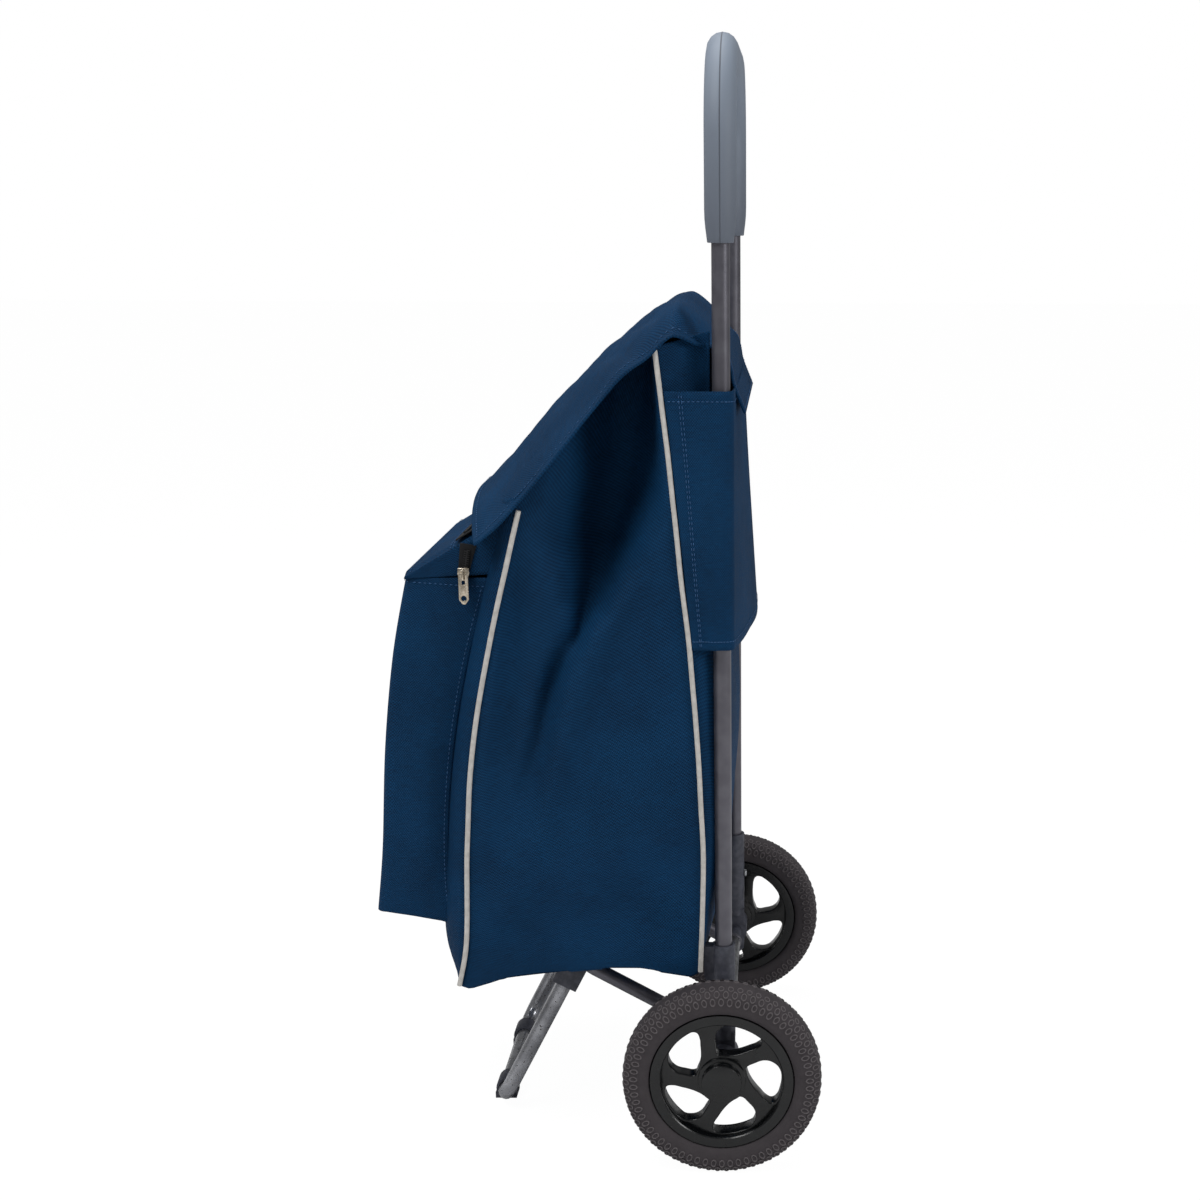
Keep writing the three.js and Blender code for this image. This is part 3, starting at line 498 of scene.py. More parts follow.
rubber, spot = material("foam_rubber", {"Specular IOR Level": 0.3})
ground = spot.grain(90, 4).mixed(colour(60, 56, 59), colour(74, 69, 72))
# Painted highlight: the loops' marked crests are painted paler than the rubber.
painted_crest_highlight = spot.node("ShaderNodeAttribute", {"attribute_name": "painted_crest_highlight"}, {}, 2)
wired(rubber, {
    "Base Color": painted_crest_highlight.mixed(ground, colour(108, 103, 105)),
    "Roughness": 0.72 + 0.2 * spot.grain(500),
    "Normal": spot.grain(1900, 3).bump(0.00025, 0.6),
})
for side, sign in SIDES:
    tyre = turned(half_section + [(-x, radius) for x, radius in reversed(half_section)], 132)
    tyre.verts.layers.float.new("painted_crest_highlight")
    tyre.from_mesh(tread_mesh)
    bmesh.ops.translate(tyre, verts=tyre.verts, vec=at(sign * WHEEL_X, 0, AXLE_Z))
    name = f"tyre_rubber_{side}"
    piece(name, smooth(mesh_of(name, tyre), 60), f"wheel_{side}", rubber, "tyre", f"tyre_{side}")

# ---------- rims ----------
# Gloss black mouldings with a broad flange and five deep swirling spokes, turning on a
# plain bush, with a flat cap pressed into the hub.

HUB_RADIUS = 17.5
HUB_LENGTH = 29
COLLAR_RADIUS = 21
COLLAR_LENGTH = 19
HUB_EDGE = 0.0012
WEB_RADIUS = 54.6
WEB_HALF_DEPTH = 5.8
WEB_EDGE = 1.2
flange = [
    (-13, 54.6), (-12.2, 53.8), (12.2, 53.8), (13, 54.6), (13.2, 58.5), (12.8, 62.6), (11.6, 63.6),
    (-11.6, 63.6), (-12.8, 62.6), (-13.2, 58.5),
]
black, spot = material("gloss_black_plastic", {"Specular IOR Level": 0.5, "Coat Roughness": 0.15})
wired(black, {
    "Base Color": spot.grain(120, 3).between(0.35, 0.7).mixed(colour(4, 6, 8), colour(11, 13, 15)),
    "Roughness": 0.18 + 0.14 * spot.grain(260, 4),
    "Normal": spot.grain(420).bump(0.00012, 0.5),
})
# One window of the web, as (radius, degrees) round its outline, and where the first one is.
WINDOW_ONE = 67
SWIRL_WINDOW = [
    (22.5, 33), (33, 35), (42.5, 32), (49, 25), (52.8, 16), (53.3, 4), (53.3, -8), (52.6, -18),
    (49.5, -23.5), (43, -24), (36, -20), (29, -13), (24, -2), (21.8, 10), (21.6, 22),
]


def spoked_web():
    """The web's flat outline with its five windows, given its depth and rounded edges."""
    curve = bpy.data.curves.new("web", "CURVE")
    curve.dimensions = "2D"
    curve.fill_mode = "BOTH"
    curve.extrude = WEB_HALF_DEPTH / 1000
    curve.bevel_depth = WEB_EDGE / 1000
    curve.bevel_resolution = 2
    rounds = [[(WEB_RADIUS, 3.75 * step) for step in range(96)]]
    for first in range(WINDOW_ONE, WINDOW_ONE + 360, 72):
        rounds.append([(radius, degrees + first) for radius, degrees in SWIRL_WINDOW])
    for outline in rounds:
        line = curve.splines.new("BEZIER")
        line.bezier_points.add(len(outline) - 1)
        line.use_cyclic_u = True
        line.resolution_u = 4 if len(outline) < 90 else 1
        for point, (radius, degrees) in zip(line.bezier_points, outline):
            angle = math.radians(degrees)
            point.co = (radius / 1000 * math.cos(angle), radius / 1000 * math.sin(angle), 0)
            point.handle_left_type = "AUTO"
            point.handle_right_type = "AUTO"
    mesh = mesh_of_curve(curve)
    stand_up = Matrix(((0, 0, 1, 0), (1, 0, 0, 0), (0, 1, 0, 0), (0, 0, 0, 1)))
    mesh.transform(stand_up)
    return mesh


for side, sign in SIDES:
    rim = turned(flange, 96)
    rim.from_mesh(spoked_web())
    hub = bmesh.new()
    add_disc(hub, Vector(), HUB_RADIUS / 1000, HUB_LENGTH / 1000, HUB_EDGE, 48)
    add_disc(hub, Vector(), COLLAR_RADIUS / 1000, COLLAR_LENGTH / 1000, HUB_EDGE, 48)
    rim.from_mesh(mesh_of("hub", hub))
    bmesh.ops.remove_doubles(rim, verts=rim.verts, dist=1e-6)
    turn_over = Matrix.Identity(4) if sign > 0 else Matrix.Rotation(math.pi, 4, "Z")
    place = Matrix.Translation(at(sign * WHEEL_X, 0, AXLE_Z)) @ turn_over
    bmesh.ops.transform(rim, matrix=place, verts=rim.verts)
    name = f"rim_swirl_{side}"
    piece(name, smooth(mesh_of(name, rim), 40), f"wheel_{side}", black, "rim", f"rim_{side}")
    piece(f"wheel_bush_ring_{side}", carried(f"wheel_bush_{side}", 0.4), f"wheel_{side}", slate,
          "slate_plastic", f"wheel_bush_{side}")
    piece(f"hub_cap_disc_{side}", carried(f"hub_cap_{side}", 0.6), f"wheel_{side}", black, "rim",
          f"hub_cap_{side}")

# ---------- bag ----------
# A tall bag sewn from coated navy canvas: a bulging front and back, two gusset sides that
# tuck in under the flap, and a floor. Its mouth slopes up to the back, where it hangs.

BAG_HALF_WIDTH = 157.5
BAG_FRONT = [(-234, 157), (-226, 200), (-222, 284), (-214, 375), (-195, 472), (-170, 572)]
BAG_FRONT_BULGED = [(-236, 153), (-250, 192), (-247, 275), (-236, 372), (-216, 470), (-186, 568)]
BAG_REAR = [(-20, 172), (-17, 266), (-19, 339), (-25, 437), (-35, 540), (-44, 632), (-52, 703)]
BAG_REAR_BULGED = [(-20, 172), (1, 273), (5, 400), (-9, 540), (-38, 640), (-52, 703)]
BAG_FLOOR = [
    (-234, 157), (-225, 154), (-198, 163), (-133.5, 171.6), (-109, 174), (-73, 174), (-29, 167),
    (-20, 172),
]
# How far the mouth stands above the seams' ends, in front and at the back.
FRONT_RISE = 20
REAR_RISE = 9


def mix(a, b, share):
    """The value so far on the way from a to b."""
    return a + (b - a) * share


def eased(low, high, value):
    """A smooth step from 0 at low to 1 at high."""
    share = min(1, max(0, (value - low) / (high - low)))
    return share * share * (3 - 2 * share)


def along(profile, share):
    """A smooth curve's point, as (Y, Z), for a share of the way through its points."""
    spot = min(max(share, 0), 1) * (len(profile) - 1)
    index = min(int(spot), len(profile) - 2)
    s = spot - index
    points = [Vector(profile[min(max(index + step, 0), len(profile) - 1)]) for step in (-1, 0, 1, 2)]
    a, b, c, d = points
    curved = (2 * a - 5 * b + 4 * c - d) * s * s + (3 * b - a - 3 * c + d) * s ** 3
    return 0.5 * (2 * b + (c - a) * s + curved)


def at_height(profile, place, axis=0):
    """The other number of a (Y, Z) profile where its number on an axis is place."""
    for low, high in zip(profile, profile[1:]):
        if min(low[axis], high[axis]) <= place <= max(low[axis], high[axis]):
            share = (place - low[axis]) / (high[axis] - low[axis] or 1)
            return mix(low[1 - axis], high[1 - axis], share)
    return min(profile[0], profile[-1], key=lambda end: abs(place - end[axis]))[1 - axis]


def fold_depth(a, b, line):
    """How deep a fold is at a place: its line holds (a, b, half width, depth) stations."""
    deepest = 0
    for (a0, b0, w0, d0), (a1, b1, w1, d1) in zip(line, line[1:]):
        run = Vector((a1 - a0, b1 - b0))
        share = min(1, max(0, Vector((a - a0, b - b0)).dot(run) / run.length_squared))
        gap = (Vector((a, b)) - Vector((a0, b0)) - run * share).length
        depth = mix(d0, d1, share) * math.exp(-((gap / mix(w0, w1, share)) ** 2.6))
        deepest = depth if abs(depth) > abs(deepest) else deepest
    return deepest


# The folds of a gusset side, as (Y, Z, half width, depth inwards) stations.
GUSSET_FOLDS = [
    [(-76, 715, 38, 84), (-90, 604, 34, 80), (-103, 556, 30, 74), (-112, 508, 18, 44),
     (-119, 478, 8, 16), (-123, 448, 5, 0)],
    [(-40, 585, 12, 0), (-72, 536, 13, -5), (-101, 487, 12, -11), (-126, 435, 14, -11),
     (-159, 327, 18, -7), (-216, 206, 22, 0)],
    [(-120, 492, 8, 4), (-141, 440, 10, 15), (-154, 385, 11, 11), (-174, 315, 14, 7),
     (-214, 225, 18, 0)],
    [(-186, 556, 9, -3), (-198, 450, 10, -4), (-213, 310, 12, -4), (-222, 240, 12, 0)],
    [(-164, 570, 9, 0), (-175, 480, 11, 6), (-191, 380, 12, 6), (-206, 290, 12, 0)],
    [(-24, 188, 12, 0), (-62, 216, 18, 4), (-100, 262, 22, 0)],
    [(-196, 172, 14, 0), (-180, 210, 18, 4), (-150, 262, 20, 0)],
]


def bag_side(sign):
    """A gusset side, from the front seam to the rear one and from the floor to the mouth."""
    def surface(a, t):
        front, rear = along(BAG_FRONT, t), along(BAG_REAR, t)
        y, z = mix(front.x, rear.x, a), mix(front.y, rear.y, a)
        z += (at_height(BAG_FLOOR, y) - z) * (1 - t) ** 8
        pinned = eased(0, 0.09, a) * eased(0, 0.09, 1 - a) * eased(0, 0.05, t)
        inwards = sum(fold_depth(y, z, line) for line in GUSSET_FOLDS)
        rise = mix(FRONT_RISE, REAR_RISE, eased(-95, -50, y)) + 0.27 * inwards * pinned
        z += rise * eased(0.92, 1, t)
        inwards += 2.6 * noise.noise(Vector((y / 60, z / 75, 3 + sign)))
        return at(sign * (BAG_HALF_WIDTH - 0.5 - inwards * pinned), y, z)
    return surface


def bag_face(straight, bulged, seed, mouth_rise):
    """The front or the back, whose top edge stands a little higher under the flap."""
    def surface(a, t):
        edge, middle = along(straight, t), along(bulged, t)
        swell = 1 - abs(2 * a - 1) ** 10
        y, z = mix(edge.x, middle.x, swell), mix(edge.y, middle.y, swell)
        y += 3 * swell * noise.noise(Vector((a * 3, z / 110, seed)))
        z += mouth_rise * eased(0.94, 1, t)
        return at((2 * a - 1) * (BAG_HALF_WIDTH - 0.5), y, z)
    return surface


def bag_floor(a, b):
    """The floor, from side to side and from the front seam to the rear one."""
    y = mix(BAG_FRONT[0][0], BAG_REAR[0][0], b)
    return at((2 * a - 1) * (BAG_HALF_WIDTH - 0.5), y, at_height(BAG_FLOOR, y))


def lay_cloth(bm, surface, across, down, width, length):
    """Lays a grid over surface(u, v), with a UV map in metres of cloth."""
    made = bmesh.ops.create_grid(bm, x_segments=across, y_segments=down, size=0.5, calc_uvs=False)
    threads = bm.loops.layers.uv.verify()
    low = min(vert.co.x for vert in made["verts"])
    places = [(vert, vert.co / (-2 * low) + Vector((0.5, 0.5, 0))) for vert in made["verts"]]
    for vert, place in places:
        for loop in vert.link_loops:
            loop[threads].uv = (place.x * width, place.y * length)
        vert.co = surface(place.x, place.y)


def soft_mesh(name, bm):
    """The mesh of a finished bmesh, shaded smooth all over."""
    mesh = mesh_of(name, bm)
    mesh.shade_smooth()
    return mesh


def cloth_mesh(name, bm):
    """Joins a bmesh of laid grids at their edges, as one smooth mesh."""
    bmesh.ops.remove_doubles(bm, verts=bm.verts, dist=2e-5)
    bmesh.ops.recalc_face_normals(bm, faces=bm.faces)
    return soft_mesh(name, bm)


def thicken(cloth, millimetres, offset):
    """Gives a sheet its thickness: inwards at offset -1, to both sides at 0."""
    wall = cloth.modifiers.new("cloth_thickness", "SOLIDIFY")
    wall.thickness = millimetres / 1000
    wall.offset = offset
    return cloth


def folds_with_stand(soft):
    """Gives a piece its own copy of its mesh."""
    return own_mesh(soft)


# Pairs of threads that cross, uneven in colour, on a cloth that is a little rumpled.
WEAVE_PITCH = 0.0026
canvas, spot = material("navy_canvas", {"Specular IOR Level": 0.12})
threads = spot.node("ShaderNodeUVMap")
warp = (threads.part(0) * (math.tau / WEAVE_PITCH)).wave()
weft = (threads.part(1) * (math.tau / WEAVE_PITCH)).wave()
weave = 0.5 + 0.5 * warp * weft
slub = threads.node("ShaderNodeMapping", {}, {"Vector": threads, "Scale": (1, 14, 1)}).grain(70, 3)
patch = spot.grain(14, 3)
tone = 0.64 * weave + 0.18 * slub.between(0.3, 0.7) + 0.18 * patch.between(0.3, 0.7)
rumple = spot.grain(42, 2)
wired(canvas, {
    "Base Color": tone.mixed(colour(1, 20, 41), colour(14, 70, 114)),
    "Roughness": 0.6 + 0.25 * slub,
    "Normal": (0.22 * weave + 0.78 * rumple).bump(0.0036, 0.6),
})
bag = bmesh.new()
for sign in (-1, 1):
    lay_cloth(bag, bag_side(sign), 56, 110, 0.2, 0.5)
lay_cloth(bag, bag_face(BAG_FRONT, BAG_FRONT_BULGED, 11, FRONT_RISE), 56, 110, 0.315, 0.42)
lay_cloth(bag, bag_face(BAG_REAR, BAG_REAR_BULGED, 12, REAR_RISE), 56, 110, 0.315, 0.53)
lay_cloth(bag, bag_floor, 56, 56, 0.315, 0.2)
bag_cloth = piece("bag_canvas", cloth_mesh("bag_canvas", bag), "frame", canvas, "canvas", "bag_shell")
folds_with_stand(thicken(bag_cloth, 1.6, -1))

# ---------- bottom board ----------
# A stiff black board with rounded edges. It lies loose on the bag's floor and keeps it flat,
# and rises with the floor when the stand folds.

board_black, spot = material("board_black", {"Specular IOR Level": 0.3})
wired(board_black, {
    "Base Color": spot.grain(200, 3).mixed(colour(22, 23, 26), colour(42, 43, 47)),
    "Roughness": 0.6 + 0.2 * spot.grain(500),
    "Normal": spot.grain(900).bump(0.0002, 0.5),
})
board = piece("bag_board_sheet", carried("bottom_board", 0.8), "frame", board_black,
              "bag_board", "bottom_board")
folds_with_stand(board)

# ---------- piping ----------
# A pale cord covered in thin plastic is sewn into the seam at each of the bag's four corners,
# from the floor to a short end that stands past the mouth under the flap.

PIPING_X = 160.05
PIPING_RADIUS = 2.2
PIPING_END = 10
PIPING_STEPS = 60
piping_pale, spot = material("pale_piping", {"Specular IOR Level": 0.4})
wired(piping_pale, {
    "Base Color": spot.grain(160, 3).between(0.3, 0.7).mixed(
        colour(196, 193, 188), colour(214, 211, 206)),
    "Roughness": 0.5 + 0.2 * spot.grain(600),
    "Normal": spot.grain(1100).bump(0.0003, 0.6),
})
for side, sign in SIDES:
    for end, profile in (("front", BAG_FRONT), ("rear", BAG_REAR)):
        path = []
        for step in range(PIPING_STEPS + 1):
            place = along(profile, step / PIPING_STEPS)
            sway = 0.5 * noise.noise(Vector((place.y / 50, sign, len(profile))))
            path.append(at(sign * (PIPING_X + sway), place.x + sway, place.y))
        path.append(path[-1] + (path[-1] - path[-2]).normalized() * PIPING_END / 1000)
        name = f"piping_cord_{end}_{side}"
        cord_seam = piece(name, tube(name, path, PIPING_RADIUS / 1000), "frame", piping_pale,
                          "piping", f"piping_{end}_{side}")
        folds_with_stand(cord_seam)

# ---------- sleeve ----------
# A band of the same canvas sewn to the two rear seams, which passes behind the handle's
# tubes and holds the bag to them. It is hemmed at the top and stitched twice down each side.

SLEEVE_TOP = 680
SLEEVE_BOTTOM = 464
SLEEVE_X = 160.4


def sleeve_surface(u, v):
    """The band, from the right seam round behind both tubes to the left seam."""
    z = mix(SLEEVE_BOTTOM, SLEEVE_TOP, v)
    sign = 1 if u < 0.5 else -1
    t = 1 - 2 * abs(u - 0.5)
    front = at_height(BAG_REAR, z, 1) + 3
    corner = 10
    bend = 7
    back = mix(26, 12, v)
    wing = 0.25
    turning = 0.1
    if t < wing:
        slack = 1.6 * math.sin(math.pi * t / wing) * noise.noise(Vector((t * 9, v * 3, 4 * sign)))
        return at(sign * (SLEEVE_X + slack), front + (corner - bend - front) * t / wing, z)
    turn = min(1, (t - wing) / turning) * math.pi / 2
    across = min(1, max(0, (t - wing - turning) / (1 - turning - wing)))
    x = (SLEEVE_X - bend) * (1 - across) + bend * math.cos(turn)
    y = corner - bend + bend * math.sin(turn) + (back - corner) * math.sin(across * math.pi / 2)
    y += 1.5 * math.sin(math.pi * across) * noise.noise(Vector((u * 7, v * 2.2, 9)))
    return at(sign * x, y, z)


sleeve = bmesh.new()
lay_cloth(sleeve, sleeve_surface, 160, 60, 0.46, 0.216)
sleeve_cloth = piece("sleeve_canvas", cloth_mesh("sleeve_canvas", sleeve), "frame", canvas,
                     "canvas", "sleeve")
folds_with_stand(thicken(sleeve_cloth, 2.0, 0))

# ---------- bag shoulders ----------
# The bag's two upper rear corners, of the same canvas, which run back from the rear seams
# to the handle's tubes under the flap.

SHOULDER_BOTTOM = 650
SHOULDER_TOPS = (716, 727)
SHOULDER_SEAM_X = 156.5
SHOULDER_END = (139.5, -9.5)


def shoulder(sign):
    """A corner, from its seam to the tube and from its low end up."""
    def surface(a, b):
        seam_y = at_height(BAG_REAR, mix(SHOULDER_BOTTOM, BAG_REAR[-1][1], b), 1)
        x, y = mix(SHOULDER_SEAM_X, SHOULDER_END[0], eased(0, 1, a)), mix(seam_y, SHOULDER_END[1], a)
        z = mix(SHOULDER_BOTTOM, mix(*SHOULDER_TOPS, a), b)
        dent = 3.5 * math.sin(math.pi * a) * noise.noise(Vector((a * 2.2, b * 2.5, 5 + sign)))
        return at(sign * (x - 2 * math.sin(math.pi * a) - dent), y, z)
    return surface


for side, sign in SIDES:
    corner_cloth = bmesh.new()
    lay_cloth(corner_cloth, shoulder(sign), 30, 40, 0.045, 0.075)
    name = f"bag_shoulder_{side}"
    corner = piece(name, cloth_mesh(name, corner_cloth), "frame", canvas, "canvas")
    folds_with_stand(thicken(corner, 1.2, 0))

# ---------- sleeve stitching ----------
# Thread of a lighter navy, in lockstitch: one row along each hem of the sleeve and two rows
# down each of its sides. Every stitch is a short rounded bead that lies on the cloth.

thread, spot = material("navy_thread", {"Specular IOR Level": 0.4})
wired(thread, {
    "Base Color": spot.grain(300).mixed(colour(36, 78, 126), colour(58, 102, 150)),
    "Roughness": 0.5 + 0.2 * spot.grain(900),
})
STITCH_LENGTH = 0.0030
STITCH_GAP = 0.0013
STITCH_HALF_WIDTH = 0.00042
STITCH_HALF_HEIGHT = 0.00034
STITCH_LIFT = 0.0014


def sew(bm, surface, start, end):
    """Sews a row of stitches over both faces of surface(u, v), from one (u, v) to another."""
    places = [surface(mix(start[0], end[0], k / 60), mix(start[1], end[1], k / 60)) for k in range(61)]
    reach = sum((b - a).length for a, b in zip(places, places[1:]))
    count = max(2, int(reach / (STITCH_LENGTH + STITCH_GAP)))
    for index in range(count):
        share = (index + 0.5) / count
        u, v = mix(start[0], end[0], share), mix(start[1], end[1], share)
        step = 0.4 / count
        middle = surface(u, v)
        ahead = surface(u + (end[0] - start[0]) * step, v + (end[1] - start[1]) * step) - middle
        side_u = surface(u + 0.003, v) - surface(u - 0.003, v)
        side_v = surface(u, v + 0.003) - surface(u, v - 0.003)
        out = side_u.cross(side_v).normalized()
        forward = ahead.normalized()
        side = out.cross(forward).normalized()
        turn = Matrix((forward, side, out)).transposed().to_4x4()
        for face in (1, -1):
            place = Matrix.Translation(middle + out * face * STITCH_LIFT) @ turn
            size = Matrix.Diagonal((STITCH_LENGTH / 2, STITCH_HALF_WIDTH, STITCH_HALF_HEIGHT, 1))
            bmesh.ops.create_icosphere(bm, subdivisions=1, radius=1, matrix=place @ size)


seams = bmesh.new()
for v in (0.962, 0.035):
    sew(seams, sleeve_surface, (0.004, v), (0.996, v))
for u in (0.030, 0.036):
    sew(seams, sleeve_surface, (u, 0.01), (u, 0.99))
    sew(seams, sleeve_surface, (1 - u, 0.01), (1 - u, 0.99))
sleeve_seams = soft_mesh("sleeve_stitches", seams)
folds_with_stand(piece("sleeve_stitches", sleeve_seams, "frame", thread, "canvas"))

# ---------- pocket ----------
# A boxy outside pocket of the same canvas, sewn to the bag's front, with its own lid panel
# that slopes up to the bag and a long zip across it.

POCKET_HALF_WIDTH = 135
POCKET_FRONT = [(-310, 216), (-303, 275), (-296, 367), (-285, 450), (-270, 520)]
POCKET_RIM = POCKET_FRONT[-1][1]
POCKET_FLOOR_FRONT = POCKET_FRONT[0]
POCKET_FLOOR_REAR = (-247, 206)
POCKET_CORNER = 9
LID_FRONT = (-270.5, 520.5)
LID_REAR = (-182, 574)
# The lid's turned-down ends: their rear edge, and the heights of their two edges.
CHEEK_REAR_Y = -183
CHEEK_LOW = (519, 524)
CHEEK_HIGH = (519.5, 571)


def bag_front_y(z):
    """Where the bag's front face stands beside the pocket."""
    low = BAG_FRONT[0][1]
    share = (z - low) / (BAG_FRONT[-1][1] - low)
    swell = 1 - (POCKET_HALF_WIDTH / BAG_HALF_WIDTH) ** 10
    return mix(along(BAG_FRONT, share).x, along(BAG_FRONT_BULGED, share).x, swell) + 2


def pocket_wall(u, v):
    """The side, the front and the other side, from the pocket's floor to its lid."""
    front = along(POCKET_FRONT, v)
    t = 1 - 2 * abs(u - 0.5)
    sign = 1 if u < 0.5 else -1
    puff = math.sin(math.pi * min(1, max(0, v)) ** 0.8)
    wing = 0.3
    turning = 0.05
    if t < wing:
        share = t / wing
        rear = bag_front_y(max(front.y, POCKET_FLOOR_REAR[1]))
        y = mix(rear, front.x + POCKET_CORNER, share)
        z = mix(mix(POCKET_FLOOR_REAR[1], POCKET_RIM, v), front.y, share)
        x = POCKET_HALF_WIDTH - 1.5 + 3.2 * math.sin(math.pi * share) * puff
        x += 1.6 * noise.noise(Vector((y / 30, z / 60, 5 * sign))) * math.sin(math.pi * share)
        return at(sign * x, y, z)
    turn = min(1, (t - wing) / turning) * math.pi / 2
    across = max(0, (t - wing - turning) / (1 - wing - turning))
    x = (POCKET_HALF_WIDTH - 1.5 - POCKET_CORNER) * (1 - across) + POCKET_CORNER * math.cos(turn)
    y = front.x + POCKET_CORNER * (1 - math.sin(turn)) - 3.5 * puff * across ** 0.6
    y += 2.4 * across * noise.noise(Vector((sign * x / 60, front.y / 70, 7)))
    return at(sign * x, y, front.y)


def pocket_floor(a, b):
    """The floor, from side to side and from its front edge to the bag."""
    y = mix(POCKET_FLOOR_FRONT[0], POCKET_FLOOR_REAR[0], b)
    x = (2 * a - 1) * (POCKET_HALF_WIDTH - 3 - 5 * eased(0.8, 1, 1 - b))
    z = mix(POCKET_FLOOR_FRONT[1], POCKET_FLOOR_REAR[1], b)
    return at(x, y, z + 3 * math.sin(math.pi * b))


def pocket_lid(a, b):
    """The lid panel, from side to side and from its front edge to the bag."""
    y, z = mix(LID_FRONT[0], LID_REAR[0], b), mix(LID_FRONT[1], LID_REAR[1], b)
    across = 2 * a - 1
    droop = 3.5 * eased(0.9, 1, abs(across))
    rumple = 1.2 * noise.noise(Vector((across * 4, b * 2, 3))) * math.sin(math.pi * b)
    return at(across * (POCKET_HALF_WIDTH - 0.5), y, z + 1.7 - droop + rumple)


def lid_cheek(sign):
    """The lid's turned-down end, between the pocket's wall and the lid."""
    def surface(a, b):
        y = mix(LID_FRONT[0], CHEEK_REAR_Y, a)
        return at(sign * (POCKET_HALF_WIDTH - 0.5), y, mix(mix(*CHEEK_LOW, a), mix(*CHEEK_HIGH, a), b))
    return surface


pocket = bmesh.new()
lay_cloth(pocket, pocket_wall, 160, 80, 0.42, 0.32)
lay_cloth(pocket, pocket_floor, 40, 10, 0.27, 0.07)
pocket_cloth = piece("pocket_canvas", cloth_mesh("pocket_canvas", pocket), "frame", canvas,
                     "canvas", "pocket")
folds_with_stand(thicken(pocket_cloth, 1.6, 0))

lid = bmesh.new()
lay_cloth(lid, pocket_lid, 90, 40, 0.27, 0.09)
for sign in (-1, 1):
    lay_cloth(lid, lid_cheek(sign), 30, 12, 0.09, 0.03)
lid_cloth = piece("pocket_lid_canvas", cloth_mesh("pocket_lid_canvas", lid), "frame", canvas,
                  "canvas", "pocket_top")
folds_with_stand(thicken(lid_cloth, 1.6, 0))

seams = bmesh.new()
for v in (0.06, 0.455, 0.49):
    sew(seams, pocket_lid, (0.01, v), (0.99, v))
sew(seams, pocket_wall, (0.004, 0.975), (0.996, 0.975))
for u in (0.012, 0.988):
    sew(seams, pocket_wall, (u, 0.01), (u, 0.97))
pocket_seams = soft_mesh("pocket_stitches", seams)
folds_with_stand(piece("pocket_stitches", pocket_seams, "frame", thread, "canvas"))

# ---------- zip ----------
# A black woven tape with two rows of moulded teeth across the pocket's lid, which turns
# down the pocket's right end. Its pale metal slider and pull hang at that end.

tape_black, spot = material("zip_tape_black", {"Specular IOR Level": 0.25, "Sheen Weight": 0.1})
ribs = (spot.part(2) * (math.tau / 0.0009)).wave() * 0.5 + 0.5
wired(tape_black, {
    "Base Color": ribs.mixed(colour(10, 11, 13), colour(30, 31, 34)),
    "Roughness": 0.75 + 0.15 * spot.grain(500),
    "Normal": ribs.bump(0.0002, 0.5),
})
nickel, spot = material("pale_zip_metal", {"Metallic": 1.0})
wired(nickel, {
    "Base Color": spot.grain(700).between(0.3, 0.7).mixed(colour(196, 182, 160), colour(224, 214, 198)),
    "Roughness": 0.2 + 0.14 * spot.grain(1500),
})
tooth_black, spot = material("zip_teeth_black", {"Specular IOR Level": 0.5})
wired(tooth_black, {
    "Base Color": spot.grain(900).mixed(colour(14, 15, 17), colour(34, 35, 38)),
    "Roughness": 0.32 + 0.2 * spot.grain(700),
})
# The lid's slope under the tape, as two (Y, Z) places, and where the tape lies between them.
SLOPE_FRONT = (-270, 520)
SLOPE_REAR = (-194, 566)
ZIP_SHARE = 0.72
ZIP_END_LOW = (-222, 506)
ZIP_END_HIGH = (-214.5, 549)
lid_tilt = math.atan2(SLOPE_REAR[1] - SLOPE_FRONT[1], SLOPE_REAR[0] - SLOPE_FRONT[0])
end_lean = math.atan2(ZIP_END_HIGH[0] - ZIP_END_LOW[0], ZIP_END_HIGH[1] - ZIP_END_LOW[1])
across_lid = at(0, *(mix(low, high, ZIP_SHARE) for low, high in zip(SLOPE_FRONT, SLOPE_REAR)))
lid_frame = Matrix.Translation(across_lid) @ Matrix.Rotation(lid_tilt, 4, "X")
end_middle = [(low + high) / 2 for low, high in zip(ZIP_END_LOW, ZIP_END_HIGH)]
end_frame = Matrix.Translation(at(0, *end_middle)) @ Matrix.Rotation(-end_lean, 4, "X")
# Each tape: its name, its frame, its size, its place there, its taper and its CAD node.
TAPES = [
    ("zip_tape_across", lid_frame, (0.264, 0.020, 0.0011), (0, 0, 0.0041), 0, "zip_tape_top"),
    ("zip_tape_down", end_frame, (0.0011, 0.014, 0.031), (0.1361, 0, 0.0065), 0.45, "zip_tape_end"),
]
for name, turn, size, shift, taper, node in TAPES:
    tape = bmesh.new()
    add_block(tape, turn @ Matrix.Translation(shift) @ Matrix.Diagonal((*size, 1)), 0.0003)
    for vert in tape.verts:
        narrowed = taper * eased(0.545, 0.520, vert.co.z)
        vert.co.y = mix(vert.co.y, end_frame.translation.y - 0.004, narrowed)
    shape = smooth(mesh_of(name, tape), 40)
    folds_with_stand(piece(name, shape, "frame", tape_black, "zip_tape", node))
teeth = bmesh.new()
TOOTH_PITCH = 0.0019
TOOTH_LENGTH = 0.0009
TOOTH_WIDTH = 0.0028
TOOTH_HEIGHT = 0.0016
ROW_SHIFT = 0.0010
LID_TEETH_START = -0.128
LID_TEETH_RUN = 0.256
END_TEETH_START = -0.0085
END_TEETH_RUN = 0.028
lid_tooth = Matrix.Diagonal((TOOTH_LENGTH, TOOTH_WIDTH, TOOTH_HEIGHT, 1))
end_tooth = Matrix.Diagonal((TOOTH_HEIGHT, TOOTH_WIDTH, TOOTH_LENGTH, 1))
